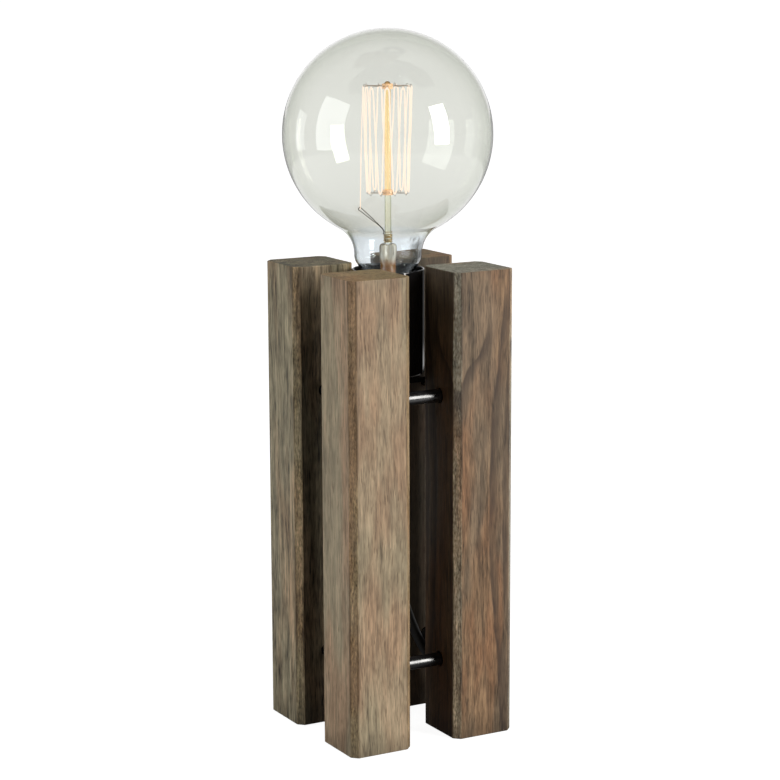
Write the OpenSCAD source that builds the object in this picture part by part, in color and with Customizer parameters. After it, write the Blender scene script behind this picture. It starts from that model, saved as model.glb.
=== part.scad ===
// Table lamp: four square wooden posts held apart by two rings of steel rods,
// with a black lampholder cup hung between them and a clear globe bulb on top.
// +Z is up, the origin is on the floor under the bulb's axis,
// +X runs from the front post to the right one and +Y from the front post to the left one.

/* [Posts] */
// Side of each square wooden post
post_w = 40.5; // [36:0.5:60]
// Height of the posts
post_h = 284; // [240:1:360]
// Chamfer along each long edge of a post
post_chamfer = 3.75; // [1:0.25:6]
// Easing round both ends of a post
post_easing = 0.8; // [0.2:0.1:2]
// Room between the lampholder cup and the posts' inner chamfers
cup_room = 1.65; // [0.5:0.05:12]

/* [Cross rods] */
// Diameter of the steel cross rods
rod_d = 8; // [5:0.5:10]
// Height of the lower rods' axes above the floor
lower_rod_z = 46; // [20:1:120]
// Wood left between the two rod sockets that meet in a post
socket_web = 2.25; // [1:0.25:6]
// Room round a rod in its socket
socket_room = 0.05; // [0.02:0.01:0.2]

/* [Lampholder mounting] */
// Thickness of the flat strip that carries the lampholder
strip_t = 3; // [2:0.25:5]
// Width of the strip
strip_w = 20; // [16:0.5:24]
// Metal of the strip beyond its screws
strip_end = 5; // [4.5:0.5:12]
// Outside diameter of the hollow threaded tube
nipple_d = 10; // [9:0.5:12]
// Bore of the hollow threaded tube
nipple_bore = 7.5; // [6.6:0.1:8]
// Room round the threaded tube in the pieces that it passes
nipple_room = 0.05; // [0.02:0.01:0.2]
// Width across the flats of the lock nuts
nut_flats = 14; // [13:0.5:17]
// Thickness of the lock nut under the strip
strip_nut_t = 4; // [2:0.5:6]
// Thickness of the lock nut inside the cup
cup_nut_t = 3; // [2:0.5:5]
// Diameter of the spacer between strip and cup
spacer_d = 18; // [14:0.5:20]
// Thickness of the spacer between strip and cup
spacer_t = 2.6; // [1:0.1:6]
// Thread diameter of the strip's screws
strip_screw_d = 4; // [3:0.5:4]
// Head diameter of the strip's screws
strip_screw_head_d = 7.5; // [6:0.5:9]
// Head height of the strip's screws
strip_screw_head_t = 2.2; // [1.5:0.1:3]

/* [Cup] */
// Height of the cup
cup_h = 63.5; // [60:0.5:80]
// Wall of the cup
cup_wall = 1.2; // [0.8:0.1:2]
// Rounding round the foot of the cup
cup_foot_round = 2; // [1:0.25:4]
// Drop of the cup's rim below the post tops
rim_drop = 2.5; // [0.5:0.5:10]
// Room between the bulb's neck and the cup
neck_room = 0.35; // [0.35:0.05:3]

/* [Lampholder] */
// Room between the lampholder and the cup
holder_room = 2.65; // [1:0.05:4]
// Wall of the lampholder's insulating base
base_wall = 2; // [1.5:0.1:3]
// Floor of the lampholder's insulating base
base_floor = 3; // [2:0.5:5]
// Thickness of the ceramic insert
insert_t = 8; // [6:0.5:10]
// Depth of the bulb's tip below the cup's rim
tip_depth = 33.5; // [33:0.25:34]
// Wall of the threaded brass shell behind its thread
shell_wall = 0.8; // [0.5:0.1:1.2]
// Height of the shell below its thread
shell_skirt = 6; // [5:0.5:7]
// Length of the shell's thread
shell_thread_l = 18; // [14:0.5:18]
// Height of the sleeve's lip above the shell
sleeve_lip = 2.5; // [1:0.25:2.5]
// Terminal screw head diameter
terminal_d = 5; // [4:0.5:6]
// Distance of the terminal screws from the axis
terminal_r = 10; // [9:0.5:11]

/* [Screw thread] */
// Pitch of the bulb's screw thread
thread_pitch = 3.629; // [3.4:0.001:4]
// Outside diameter of the bulb's thread
thread_d = 26.2; // [25:0.1:27]
// Depth of the thread
thread_depth = 1; // [0.6:0.1:1.2]
// Room between the bulb's thread and the lampholder's thread
thread_room = 0.3; // [0.25:0.05:0.5]

/* [Bulb] */
// Diameter of the globe
globe_d = 125; // [95:1:130]
// Thickness of the glass
glass_t = 0.9; // [0.6:0.1:1.5]
// Diameter of the neck
neck_d = 40.6; // [38:0.2:42]
// Radius of the flare from neck to globe
flare_r = 18; // [10:1:24]
// Height of the middle of the flare above the cup's rim
neck_rise = 9; // [8:0.2:14]
// Rounding of the shoulder at the foot of the neck
shoulder_r = 10; // [8:0.5:11]
// Height of the metal cap and its insulator
cap_h = 27; // [26:0.25:28]
// Thickness of the metal cap behind its thread
cap_wall = 0.5; // [0.4:0.1:0.8]
// Diameter of the tip contact
tip_d = 9.5; // [7:0.5:11]
// Diameter of the press at the top of the stem
press_d = 10.6; // [9:0.2:13]
// Height of the press above the cup's rim
press_rise = 15.5; // [13:0.5:18]
// Diameter of the central glass rod
glass_rod_d = 3.9; // [3:0.1:5]
// Diameter of the exhaust tube inside the cap
exhaust_d = 5; // [4:0.5:6]

/* [Filament] */
// Height of the filament's top loops above the globe's centre
filament_above = 28.4; // [20:0.2:34]
// Depth of the filament's bottom loops below the globe's centre
filament_below = 34.3; // [26:0.2:36]
// Radius of the ring of top loops
filament_top_r = 14.5; // [10:0.5:18]
// Radius of the ring of bottom loops
filament_bottom_r = 12.5; // [9:0.5:18]
// Number of strands in the squirrel cage
strand_count = 18; // [10:2:24]
// Diameter of the filament
strand_d = 0.6; // [0.4:0.1:1]
// Diameter of the hooked support wires
hook_d = 0.7; // [0.4:0.1:1]
// Diameter of the two lead wires
lead_wire_d = 0.8; // [0.6:0.1:1]
// Diameter of the hubs that hold the support wires
hub_d = 6.4; // [5.4:0.2:8]
// Height of each hub
hub_h = 3; // [2:0.5:5]

/* [Mains lead] */
// Diameter of the round mains lead
cord_d = 6; // [5:0.5:6.5]
// Height of the cord grip's collar
grip_collar_h = 10; // [8:0.5:14]
// Length of the cord grip's tapered tail
grip_tail_h = 26.4; // [20:0.2:40]
// Outside radius of the coil at the middle of its lead
coil_outer_r = 46; // [44:0.5:60]
// Number of turns in the coil
coil_turns = 6.5; // [4.5:1:7.5]
// Distance between the middles of neighbouring turns
coil_pitch = 6.6; // [6.5:0.05:9]
// Width of the strap round the coil
strap_w = 8; // [5:1:20]
// Thickness of the strap
strap_t = 0.5; // [0.4:0.05:0.5]

/* [In-line switch] */
// Length of the switch body along the lead
switch_l = 58; // [54:1:70]
// Width of the switch body
switch_w = 24; // [22:0.5:30]
// Height of the switch body
switch_h = 18; // [17:0.5:24]
// Wall of the switch shells
switch_wall = 2; // [1.5:0.1:2.5]
// Length of the collar at each end of the switch
collar_l = 10; // [6:1:14]
// Outside diameter of the collars
collar_d = 9.6; // [9:0.2:12]
// Width of the rocker
rocker_w = 11.4; // [9:0.2:12]
// Length of the rocker
rocker_l = 19; // [15:0.5:21]
// Angle that the rocker tilts through from stop to stop
rocker_throw = 14; // [8:1:16]
// Diameter of the rocker's pin
rocker_pin_d = 2; // [1.5:0.1:2.5]

/* [Plug] */
// Width of the flat plug
plug_w = 35.3; // [30:0.1:40]
// Length of the plug body
plug_l = 36; // [30:0.5:45]
// Thickness of the plug body
plug_t = 13.7; // [12:0.1:14]
// Length of the plug's tapered tail
plug_tail_l = 16; // [10:1:24]
// Diameter of the two pins
plug_pin_d = 4; // [3.8:0.1:4.8]
// Length of the pins outside the body
plug_pin_l = 19; // [15:0.5:20]
// Distance between the middles of the two pins
plug_pin_pitch = 18.6; // [17:0.1:20]

/* [Hidden] */
$fn = 64;

wood = [0.44, 0.34, 0.26];
black_metal = [0.04, 0.04, 0.045];
black_plastic = [0.07, 0.07, 0.07];
black_rubber = [0.05, 0.05, 0.05];
steel = [0.72, 0.72, 0.74];
brass = [0.78, 0.62, 0.32];
copper = [0.72, 0.42, 0.27];
ceramic = [0.9, 0.88, 0.84];
clear_glass = [0.86, 0.9, 0.86, 0.35];
carbon = [0.93, 0.78, 0.55];

// A cut runs this far past the face that it starts from
past = 1;
// Soft pieces keep this far from what they touch
soft_room = 0.3;

// Posts stand so far apart that the cup clears their inner chamfers
cup_r = neck_d / 2 + neck_room + cup_wall;
post_gap = sqrt(2) * (cup_r + cup_room) - post_chamfer;
post_at = (post_gap + post_w) / 2;

// Rods
rod_seat = post_w / 2 - rod_d / 2 - socket_web;
rod_l = post_gap + 2 * rod_seat;

// Heights, from the post tops down
cup_top = post_h - rim_drop;
cup_foot = cup_top - cup_h;
strip_top = cup_foot - spacer_t;
strip_foot = strip_top - strip_t;
upper_rod_z = strip_foot - rod_d / 2;
strip_nut_foot = strip_foot - strip_nut_t;
grip_foot = strip_nut_foot - grip_collar_h - grip_tail_h;
cup_nut_foot = cup_foot + cup_wall;
base_foot = cup_nut_foot + cup_nut_t;

// Lampholder and bulb cap, from the cup's rim down
tip_z = cup_top - tip_depth;
shell_foot = tip_z + 4 - shell_skirt;
thread_z = tip_z + 4;
shell_top = thread_z + shell_thread_l;
insert_foot = shell_foot - insert_t;
holder_r = cup_r - cup_wall - holder_room;
cap_minor_r = thread_d / 2 - thread_depth;
shell_major_r = thread_d / 2 + thread_room;
shell_outer_r = shell_major_r + shell_wall;
cap_top = tip_z + cap_h;
cap_tip_t = 1.6;
tube_inside = 6;
tube_foot = strip_nut_foot - 9;
tube_top = base_foot + base_floor + tube_inside;

// Bulb
globe_r = globe_d / 2;
neck_r = neck_d / 2;
flare_z = cup_top + neck_rise;
globe_z = flare_z + sqrt(pow(globe_r + flare_r, 2) - pow(neck_r + flare_r, 2));
shoulder_z = flare_z - 0.5;
glass_foot_r = cap_minor_r - cap_wall - 0.4;
glass_foot = cap_top - 4;
press_top = cup_top + press_rise;
press_h = 16;
stem_foot = cap_top - 2;
stem_foot_r = glass_foot_r - glass_t - 0.3;
filament_top = globe_z + filament_above;
filament_foot = globe_z - filament_below;
rod_top = filament_top + 1;
crimp_h = 7;
hook_seat = 0.4;

// Sides of the swept wires and threads
wire_sides = 6;
cord_sides = 8;
thread_sides = 24;
steps_per_pitch = 8;

// Rim of the rounded box that the switch is cut from
switch_round = 4;
plan_round = 7;
split_z = switch_h / 2;

// The lead's route: from the cord grip down between the posts, under the lower rod,
// out on the floor and round to the in-line switch
lead_route = [
    [0, 0, 172], [0, 0, 160], [0, 0, 148], [0.5, 0, 136], [2, 0, 124], [4, 0, 112],
    [7, 0, 100], [10.5, 0, 88], [16.5, 0, 71], [20.5, 0, 59], [24.5, 0, 47], [29.5, 0, 36],
    [35.5, 0, 26], [43.5, 0, 17], [53.5, 0, 9.5], [64, 0.5, 4.8], [74, 3, 3.1],
    [82.5, 8, 3.6], [88.2, 14.5, 5.3], [91.2, 21.5, 7.6], [92, 27, 8.9], [92, 29, 9], [92, 31, 9]
];
// From the switch to the coil
run_route = [
    [92, 109, 9], [92, 111, 9], [92, 115, 8.6], [92, 119, 7.4], [92, 123, 5.9], [92, 127, 4.5],
    [92, 131, 3.7], [92, 133, 3.6], [92, 134, 3.6]
];
// From the coil to the plug
tail_route = [
    [0, 134, 10.2], [0, 132, 10.2], [0, 128, 9.9], [0, 124, 9.2], [0, 120, 8.4], [0, 116, 7.6],
    [0, 112.5, 7.1], [0, 111, 7], [0, 110, 7]
];
// Where the pieces on the lead lie
switch_at = [92, 70, 0];
plug_at = [0, 94, 7];
coil_at = [46, 140, 3.6];
coil_rings = 24;

function unit(v) = v / norm(v);

// Direction of the line at each of its points
function headings(line) = [
    for (i = [0 : len(line) - 1]) unit(line[min(i + 1, len(line) - 1)] - line[max(i - 1, 0)])
];

// The direction nearest to side that is square to the heading
function squared(side, heading) = unit(side - heading * (side * heading));

// One side direction per point, carried along the line without a twist
function sides_along(heading, first) = [
    for (i = 0, side = squared(first, heading[0]); i < len(heading);
        i = i + 1, side = squared(side, heading[min(i, len(heading) - 1)])) side
];

// Faces of a grid of rings with a flat cap at each end
function ring_faces(rings, sides) = concat(
    [for (i = [0 : rings - 2]) for (k = [0 : sides - 1])
        [i * sides + k, (i + 1) * sides + (k + 1) % sides, i * sides + (k + 1) % sides]],
    [for (i = [0 : rings - 2]) for (k = [0 : sides - 1])
        [i * sides + k, (i + 1) * sides + k, (i + 1) * sides + (k + 1) % sides]],
    [for (k = [1 : sides - 2]) [0, k, k + 1]],
    [for (k = [1 : sides - 2]) [rings * sides - sides, rings * sides - sides + k + 1,
        rings * sides - sides + k]]
);

// A round tube, filled, that follows a line of points
module swept(line, r, sides, first = [0, 0, 1]) {
    heading = headings(line);
    side = sides_along(heading, first);
    points = [
        for (i = [0 : len(line) - 1]) for (k = [0 : sides - 1])
            line[i] + r * (cos(360 * k / sides) * side[i]
                + sin(360 * k / sides) * cross(heading[i], side[i]))
    ];
    polyhedron(points, ring_faces(len(line), sides));
}

// Points of an arc in a profile
function arc(middle, r, from, to, steps) = [
    for (i = [0 : steps]) middle + r * [cos(from + (to - from) * i / steps),
        sin(from + (to - from) * i / steps)]
];

// A hexagonal nut with a plain bore
module nut(flats, bore_d, t) {
    difference() {
        cylinder(d = flats / cos(30), h = t, $fn = 6);
        translate([0, 0, -past]) cylinder(d = bore_d, h = t + 2 * past);
    }
}

// A square with cut corners
module cut_square(w, cut) {
    h = w / 2;
    polygon([
        [-h + cut, -h], [h - cut, -h], [h, -h + cut], [h, h - cut],
        [h - cut, h], [-h + cut, h], [-h, h - cut], [-h, -h + cut]
    ]);
}

// The side view of a post, its ends eased
module eased_side() {
    h = post_w / 2 + past;
    polygon([
        [-post_w / 2 + post_easing, 0], [post_w / 2 - post_easing, 0],
        [h, post_easing + past], [h, post_h - post_easing - past],
        [post_w / 2 - post_easing, post_h], [-post_w / 2 + post_easing, post_h],
        [-h, post_h - post_easing - past], [-h, post_easing + past]
    ]);
}

// Blind sockets for both rings of rods, in a post whose inner faces look along toward_x and toward_y
module rod_sockets(toward_x, toward_y) {
    r = rod_d / 2 + socket_room;
    for (z = [lower_rod_z, upper_rod_z]) {
        translate([toward_x * (post_w / 2 + past), 0, z]) rotate([0, -90 * toward_x, 0])
            cylinder(r = r, h = rod_seat + past);
        translate([0, toward_y * (post_w / 2 + past), z]) rotate([90 * toward_y, 0, 0])
            cylinder(r = r, h = rod_seat + past);
    }
}

module post(side_x, side_y) {
    color(wood) translate([side_x * post_at, side_y * post_at, 0]) difference() {
        intersection() {
            linear_extrude(post_h) cut_square(post_w, post_chamfer);
            translate([0, post_w, 0]) rotate([90, 0, 0]) linear_extrude(2 * post_w) eased_side();
            translate([-post_w, 0, 0]) rotate([90, 0, 90]) linear_extrude(2 * post_w) eased_side();
        }
        rod_sockets(-side_x, -side_y);
    }
}

module rod_along_x(side_y, z) {
    color(black_metal) translate([-rod_l / 2, side_y * post_at, z]) rotate([0, 90, 0])
        cylinder(d = rod_d, h = rod_l);
}

module rod_along_y(side_x, z) {
    color(black_metal) translate([side_x * post_at, rod_l / 2, z]) rotate([90, 0, 0])
        cylinder(d = rod_d, h = rod_l);
}

// An upper rod that carries an end of the strip, tapped from above for its screw
module strip_rod(side_x) {
    difference() {
        rod_along_y(side_x, upper_rod_z);
        translate([side_x * post_at, 0, upper_rod_z]) cylinder(d = strip_screw_d, h = rod_d);
    }
}

module mounting_strip() {
    color(black_metal) translate([0, 0, strip_foot]) difference() {
        translate([-post_at - strip_end, -strip_w / 2, 0])
            cube([2 * (post_at + strip_end), strip_w, strip_t]);
        translate([0, 0, -past]) cylinder(d = nipple_d + 2 * nipple_room, h = strip_t + 2 * past);
        for (side = [-1, 1]) translate([side * post_at, 0, -past])
            cylinder(d = strip_screw_d + 0.2, h = strip_t + 2 * past);
    }
}

module strip_screws() {
    shank_l = strip_t + rod_d / 2 - 0.5;
    color(steel) for (side = [-1, 1]) translate([side * post_at, 0, strip_top]) difference() {
        union() {
            cylinder(d = strip_screw_head_d, h = strip_screw_head_t);
            translate([0, 0, -shank_l]) cylinder(d = strip_screw_d - 0.1, h = shank_l + past / 2);
        }
        translate([-strip_screw_head_d, -0.5, strip_screw_head_t - 1])
            cube([2 * strip_screw_head_d, 1, 2]);
    }
}

module threaded_tube() {
    color(steel) translate([0, 0, tube_foot]) difference() {
        cylinder(d = nipple_d, h = tube_top - tube_foot);
        translate([0, 0, -past]) cylinder(d = nipple_bore, h = tube_top - tube_foot + 2 * past);
    }
}

module strip_nut() {
    color(steel) translate([0, 0, strip_nut_foot])
        nut(nut_flats, nipple_d + 2 * nipple_room, strip_nut_t);
}

module cup_spacer() {
    color(black_metal) translate([0, 0, strip_top]) difference() {
        cylinder(d = spacer_d, h = spacer_t);
        translate([0, 0, -past]) cylinder(d = nipple_d + 2 * nipple_room, h = spacer_t + 2 * past);
    }
}

module cup_nut() {
    color(steel) translate([0, 0, cup_nut_foot])
        nut(nut_flats, nipple_d + 2 * nipple_room, cup_nut_t);
}

module cord_grip() {
    collar_r = nipple_d / 2 + 4;
    tail_r = cord_d / 2 + 1.2;
    bore_r = cord_d / 2 + 0.05;
    color(black_plastic) translate([0, 0, grip_foot]) difference() {
        union() {
            translate([0, 0, grip_tail_h]) cylinder(r = collar_r, h = grip_collar_h);
            cylinder(r1 = tail_r, r2 = collar_r - 2, h = grip_tail_h);
        }
        translate([0, 0, -past]) cylinder(r = bore_r, h = grip_tail_h + grip_collar_h + 2 * past);
        translate([0, 0, tube_foot - grip_foot])
            cylinder(r = nipple_d / 2 + nipple_room, h = grip_collar_h + past);
    }
}

module holder_cup() {
    inner_r = cup_r - cup_wall;
    bore_r = nipple_d / 2 + nipple_room;
    lip = cup_wall / 2;
    color(black_metal) translate([0, 0, cup_foot]) rotate_extrude() polygon(concat(
        [[bore_r, 0]],
        arc([cup_r - cup_foot_round, cup_foot_round], cup_foot_round, -90, 0, 6),
        arc([cup_r - lip, cup_h - lip], lip, 0, 180, 8),
        [[inner_r, cup_wall], [bore_r, cup_wall]]
    ));
}

module holder_base() {
    h = insert_foot - base_foot;
    color(black_plastic) translate([0, 0, base_foot]) difference() {
        cylinder(r = holder_r, h = h);
        translate([0, 0, base_floor]) cylinder(r = holder_r - base_wall, h = h);
        translate([0, 0, -past])
            cylinder(r = nipple_d / 2 + nipple_room, h = base_floor + 2 * past);
    }
}

module holder_insert() {
    color(ceramic) translate([0, 0, insert_foot]) difference() {
        cylinder(r = holder_r, h = insert_t);
        for (side = [-1, 1]) translate([side * terminal_r, 0, -past])
            cylinder(d = terminal_d / 2 + 0.2, h = insert_t / 2 + past);
    }
}

// Heights of the rings that draw a thread, from one height to another
function thread_levels(from, to) = [
    for (i = [0 : ceil((to - from) * steps_per_pitch / thread_pitch)])
        min(to, from + i * thread_pitch / steps_per_pitch)
];

// Swell of the thread at a height and angle, from 0 in its root to 1 on its crest
function swell(z, angle) = (1 + cos(360 * (z - thread_z) / thread_pitch - angle)) / 2;

// How far the thread has grown from its ends, from 0 to 1
function grown(z, from, to) = min(1, (z - from) / thread_pitch * 2, (to - z) / thread_pitch * 2);

// A sleeve turned from a closed profile of [radius, height, depth of thread]
module threaded_sleeve(profile) {
    rows = len(profile);
    points = [
        for (p = profile) for (k = [0 : thread_sides - 1])
            let (angle = 360 * k / thread_sides, r = p[0] + p[2] * swell(p[1], angle))
                [r * cos(angle), r * sin(angle), p[1]]
    ];
    faces = [
        for (i = [0 : rows - 1]) for (k = [0 : thread_sides - 1]) for (half = [0, 1])
            let (a = i * thread_sides, b = (i + 1) % rows * thread_sides, n = (k + 1) % thread_sides)
                half == 0 ? [a + k, b + k, b + n] : [a + k, b + n, a + n]
    ];
    polyhedron(points, faces);
}

module screw_shell() {
    levels = thread_levels(thread_z, shell_top);
    color(brass) threaded_sleeve(concat(
        [[shell_outer_r, shell_foot, 0], [shell_outer_r, shell_top, 0]],
        [for (i = [len(levels) - 1 : -1 : 0])
            let (z = levels[i], deep = thread_depth * grown(z, thread_z, shell_top))
                [shell_major_r - deep, z, deep]],
        [[shell_major_r, shell_foot, 0]]
    ));
}

module holder_sleeve() {
    gap = 0.3;
    lip_r = shell_major_r + 0.4;
    h = shell_top - shell_foot + sleeve_lip;
    color(black_plastic) translate([0, 0, shell_foot]) difference() {
        cylinder(r = holder_r, h = h);
        translate([0, 0, -past]) cylinder(r = shell_outer_r + gap, h = shell_top - shell_foot + gap + past);
        translate([0, 0, -past]) cylinder(r = lip_r, h = h + 2 * past);
    }
}

// A sprung brass leaf on the insert, riveted at one end, that presses on the bulb's tip
module centre_contact() {
    leaf_t = 0.5;
    gap = 0.15;
    rise = tip_z - gap - shell_foot;
    color(brass) translate([0, 3, shell_foot]) rotate([90, 0, 0]) linear_extrude(6) polygon([
        [-10, 0], [-4, 0], [-1, rise - leaf_t], [5, rise - leaf_t], [5, rise],
        [-1.5, rise], [-4.3, leaf_t], [-10, leaf_t]
    ]);
}

module terminal_screws() {
    color(brass) for (side = [-1, 1]) translate([side * terminal_r, 0, insert_foot]) {
        translate([0, 0, -2.5]) cylinder(d = terminal_d, h = 2.5);
        cylinder(d = terminal_d / 2, h = insert_t / 2 - 0.5);
    }
}

// The end of the lead in its grip and the threaded tube, and its two cores at the terminals
module holder_leads() {
    sheath_top = tube_top + 1;
    core_r = 1;
    color(black_rubber) translate([0, 0, grip_foot]) cylinder(d = cord_d, h = sheath_top - grip_foot);
    color(copper) for (side = [-1, 1]) {
        swept([
            [side * 1.5, 0, sheath_top - 0.5], [side * 1.8, 0, sheath_top + 2],
            [side * 3.5, side * 1, sheath_top + 4],
            [side * (terminal_r - 4.5), side * 0.5, insert_foot - 1.5],
            [side * (terminal_r - terminal_d / 2 - 0.3), 0, insert_foot - 1.2]
        ], core_r, wire_sides, [0, 1, 0]);
    }
}

module cap_tip() {
    color(steel) translate([0, 0, tip_z]) rotate_extrude() polygon([
        [0, 0], [tip_d / 2 - 2, 0], [tip_d / 2, 1], [tip_d / 2, cap_tip_t], [0, cap_tip_t]
    ]);
}

module cap_insulator() {
    foot = tip_z + cap_tip_t;
    top = thread_z - 0.1;
    color(black_plastic) rotate_extrude() polygon([
        [exhaust_d / 2 + 1, foot], [tip_d / 2 + 1, foot], [cap_minor_r - 1.4, top - 0.4],
        [cap_minor_r - 1.4, top], [exhaust_d / 2 + 1, top]
    ]);
}

module screw_cap() {
    cap_foot = thread_z;
    thread_foot = thread_z + thread_pitch / 2;
    thread_top = thread_foot + 5 * thread_pitch;
    rim_r = thread_d / 2 + 0.1;
    bore_r = cap_minor_r - cap_wall;
    levels = thread_levels(thread_foot, thread_top);
    color(steel) threaded_sleeve(concat(
        [[cap_minor_r - 2, cap_foot, 0], [cap_minor_r - 1.2, cap_foot, 0]],
        [for (z = levels) [cap_minor_r, z, thread_depth * grown(z, thread_foot, thread_top)]],
        [[rim_r, thread_top + 1, 0], [rim_r, cap_top, 0], [bore_r, cap_top, 0],
            [bore_r, thread_foot, 0], [cap_minor_r - 2, cap_foot + 0.8, 0]]
    ));
}

// Outline of the bulb's neck from its foot in the cap to the top of the flare, a wall further in
function neck_outline(wall) = let (
    shoulder_angle = 48,
    flare_angle = acos((neck_r + flare_r) / (globe_r + flare_r)),
    r = shoulder_r - wall,
    middle = [neck_r - shoulder_r, shoulder_z]
) concat(
    [[glass_foot_r - wall, glass_foot], [glass_foot_r - wall, cap_top + 0.5]],
    arc(middle, r, -shoulder_angle, 0, 5),
    arc([neck_r + flare_r, flare_z], flare_r + wall, 180, 180 - flare_angle, 8)
);

// The bulb's solid form, a wall further in than its outer face
module bulb_form(wall) {
    line = neck_outline(wall);
    last = line[len(line) - 1];
    rotate_extrude() polygon(concat([[0, line[0][1]]], line, [[0, last[1]]]));
    translate([0, 0, globe_z]) sphere(r = globe_r - wall, $fn = 96);
}

module bulb_glass() {
    color(clear_glass) difference() {
        bulb_form(0);
        bulb_form(glass_t);
        translate([0, 0, glass_foot - past]) cylinder(r = glass_foot_r - glass_t, h = 2 * past);
    }
}

// The flared glass tube, sealed in the neck, that ends in the flattened press
module bulb_stem() {
    flare_h = 6;
    tube_r = press_d / 2 - 0.6;
    color(clear_glass) difference() {
        rotate_extrude() polygon(concat(
            [[0, stem_foot], [stem_foot_r, stem_foot], [stem_foot_r - 0.5, stem_foot + 1]],
            [[tube_r, stem_foot + flare_h], [tube_r, press_top - press_h + 4]],
            [[press_d / 2, press_top - press_h + 8], [press_d / 2, press_top - 3]],
            arc([press_d / 2 - 3, press_top - 3], 3, 0, 90, 5),
            [[0, press_top]]
        ));
        rotate_extrude() polygon([
            [0, stem_foot - past], [stem_foot_r - 1, stem_foot - past],
            [tube_r - 1.2, stem_foot + flare_h], [tube_r - 1.2, press_top - press_h + 2],
            [0, press_top - press_h + 4]
        ]);
    }
}

module exhaust_tube() {
    foot = tip_z + cap_tip_t + 0.2;
    color(clear_glass) translate([0, 0, foot]) difference() {
        cylinder(d = exhaust_d, h = press_top - press_h - foot + 1);
        translate([0, 0, 1]) cylinder(d = exhaust_d - 1.6, h = press_top - press_h - foot + past);
    }
}

module glass_rod() {
    color(clear_glass) translate([0, 0, press_top]) {
        cylinder(d = glass_rod_d, h = rod_top - press_top);
        translate([0, 0, rod_top - press_top]) sphere(d = glass_rod_d);
    }
}

// A hub threaded on the glass rod, with a ring of holes that the support wires are set in
module hub(z, count, turned) {
    translate([0, 0, z]) difference() {
        translate([0, 0, -hub_h / 2]) cylinder(d = hub_d, h = hub_h);
        translate([0, 0, -hub_h / 2 - past]) cylinder(d = glass_rod_d + 0.1, h = hub_h + 2 * past);
        for (i = [0 : count - 1]) rotate([0, 90, 360 * i / count + turned])
            translate([0, 0, hub_d / 2 - hook_seat - 0.1])
            cylinder(d = hook_d + 0.1, h = hook_seat + past, $fn = wire_sides);
    }
}

module top_hub() {
    color(copper) hub(filament_top, strand_count / 2, 0);
}

module bottom_hub() {
    color(copper) hub(filament_foot, strand_count / 2, 360 / strand_count);
}

// Wires from a hub out to a ring of loops, each ending in a hook that turns to one side
module hooks(z, reach, count, turned, lift) {
    tip = hook_d * 1.2;
    for (i = [0 : count - 1]) rotate([0, 0, 360 * i / count + turned]) swept([
        [hub_d / 2 - hook_seat, 0, z], [reach * 0.6, 0, z], [reach - tip, 0, z], [reach, 0, z + lift * tip]
    ], hook_d / 2, wire_sides, [0, 0, 1]);
}

module top_hooks() {
    color(steel) hooks(filament_top, filament_top_r - strand_d, strand_count / 2, 0, 1);
}

module bottom_hooks() {
    color(steel) hooks(filament_foot, filament_bottom_r - strand_d, strand_count / 2,
        360 / strand_count, -1);
}

// One wire that runs up and down between the rings, over a top hook and under a bottom hook
module filament() {
    bend = 0.6;
    turns = [
        for (i = [0 : strand_count - 1]) let (
            up = i % 2 == 0,
            angle = 360 * i / strand_count,
            r = up ? filament_top_r : filament_bottom_r,
            z = up ? filament_top : filament_foot,
            side = 90 / strand_count
        ) each [
            [r * cos(angle - side), r * sin(angle - side), z + (up ? -bend * 3 : bend * 3)],
            [r * cos(angle), r * sin(angle), z + (up ? bend : -bend)],
            [r * cos(angle + side), r * sin(angle + side), z + (up ? -bend * 3 : bend * 3)]
        ]
    ];
    color(carbon) swept(turns, strand_d / 2, wire_sides, [1, 0, 0]);
}

// Two wires that leave the press side by side and end in the loop beside the filament's foot
module lead_wires() {
    beside = glass_rod_d / 2 + lead_wire_d / 2 + 0.1;
    foot = press_top + crimp_h + 0.1;
    tip = filament_foot - 10;
    turned = 151;
    color(copper) rotate([0, 0, turned]) for (side = [-1, 1]) swept([
        [beside, side * 0.5, foot], [beside + 0.8, side * 0.5, foot + 1],
        [beside + 3.8, side * 0.5, foot + 3.2], [beside + 14, side * 0.9, tip]
    ], lead_wire_d / 2, wire_sides, [0, 1, 0]);
}

module lead_crimp() {
    color(copper) translate([0, 0, press_top]) difference() {
        cylinder(d = glass_rod_d + 1.2, h = crimp_h);
        translate([0, 0, -past]) cylinder(d = glass_rod_d + 0.1, h = crimp_h + 2 * past);
    }
}

module cord_lead() {
    color(black_rubber) swept(lead_route, cord_d / 2, cord_sides, [0, 1, 0]);
}

module cord_run() {
    color(black_rubber) swept(run_route, cord_d / 2, cord_sides);
}

module cord_tail() {
    color(black_rubber) swept(tail_route, cord_d / 2, cord_sides);
}

// The coil spirals in on the floor and out again on top, and climbs in the half turn between.
// Its radius and height at an angle counted from its start:
coil_reversal = 180 * coil_turns;
function coil_r(angle) = coil_outer_r
    - coil_pitch * (coil_reversal - abs(angle - coil_reversal)) / 360;
function coil_climb(angle) = min(1, max(0, (angle - coil_reversal + 90) / 180));
function coil_z(angle) = coil_pitch * (1 - cos(180 * coil_climb(angle))) / 2;
function coil_point(angle) = coil_at + [
    coil_r(angle) * cos(angle), coil_r(angle) * sin(angle), coil_z(angle)
];
coil_step = 360 / coil_rings;
coil_line = concat(
    [coil_at + [coil_outer_r, -cord_d, 0]],
    [for (i = [0 : coil_turns * coil_rings]) coil_point(i * coil_step)],
    [coil_at + [-coil_outer_r, -cord_d, coil_pitch]]
);

// Least distance between the coil's surfaces, from its rings' middles and the points between them
function least_gap(line) = let (
    middles = [for (i = [0 : len(line) - 2]) (line[i] + line[i + 1]) / 2],
    apart = coil_rings / 2
) min([for (i = [0 : len(line) - 1]) for (k = [i + apart : 1 : len(line) - 2])
    min(norm(line[i] - line[k]), norm(line[i] - middles[k]))]) - cord_d;

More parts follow.
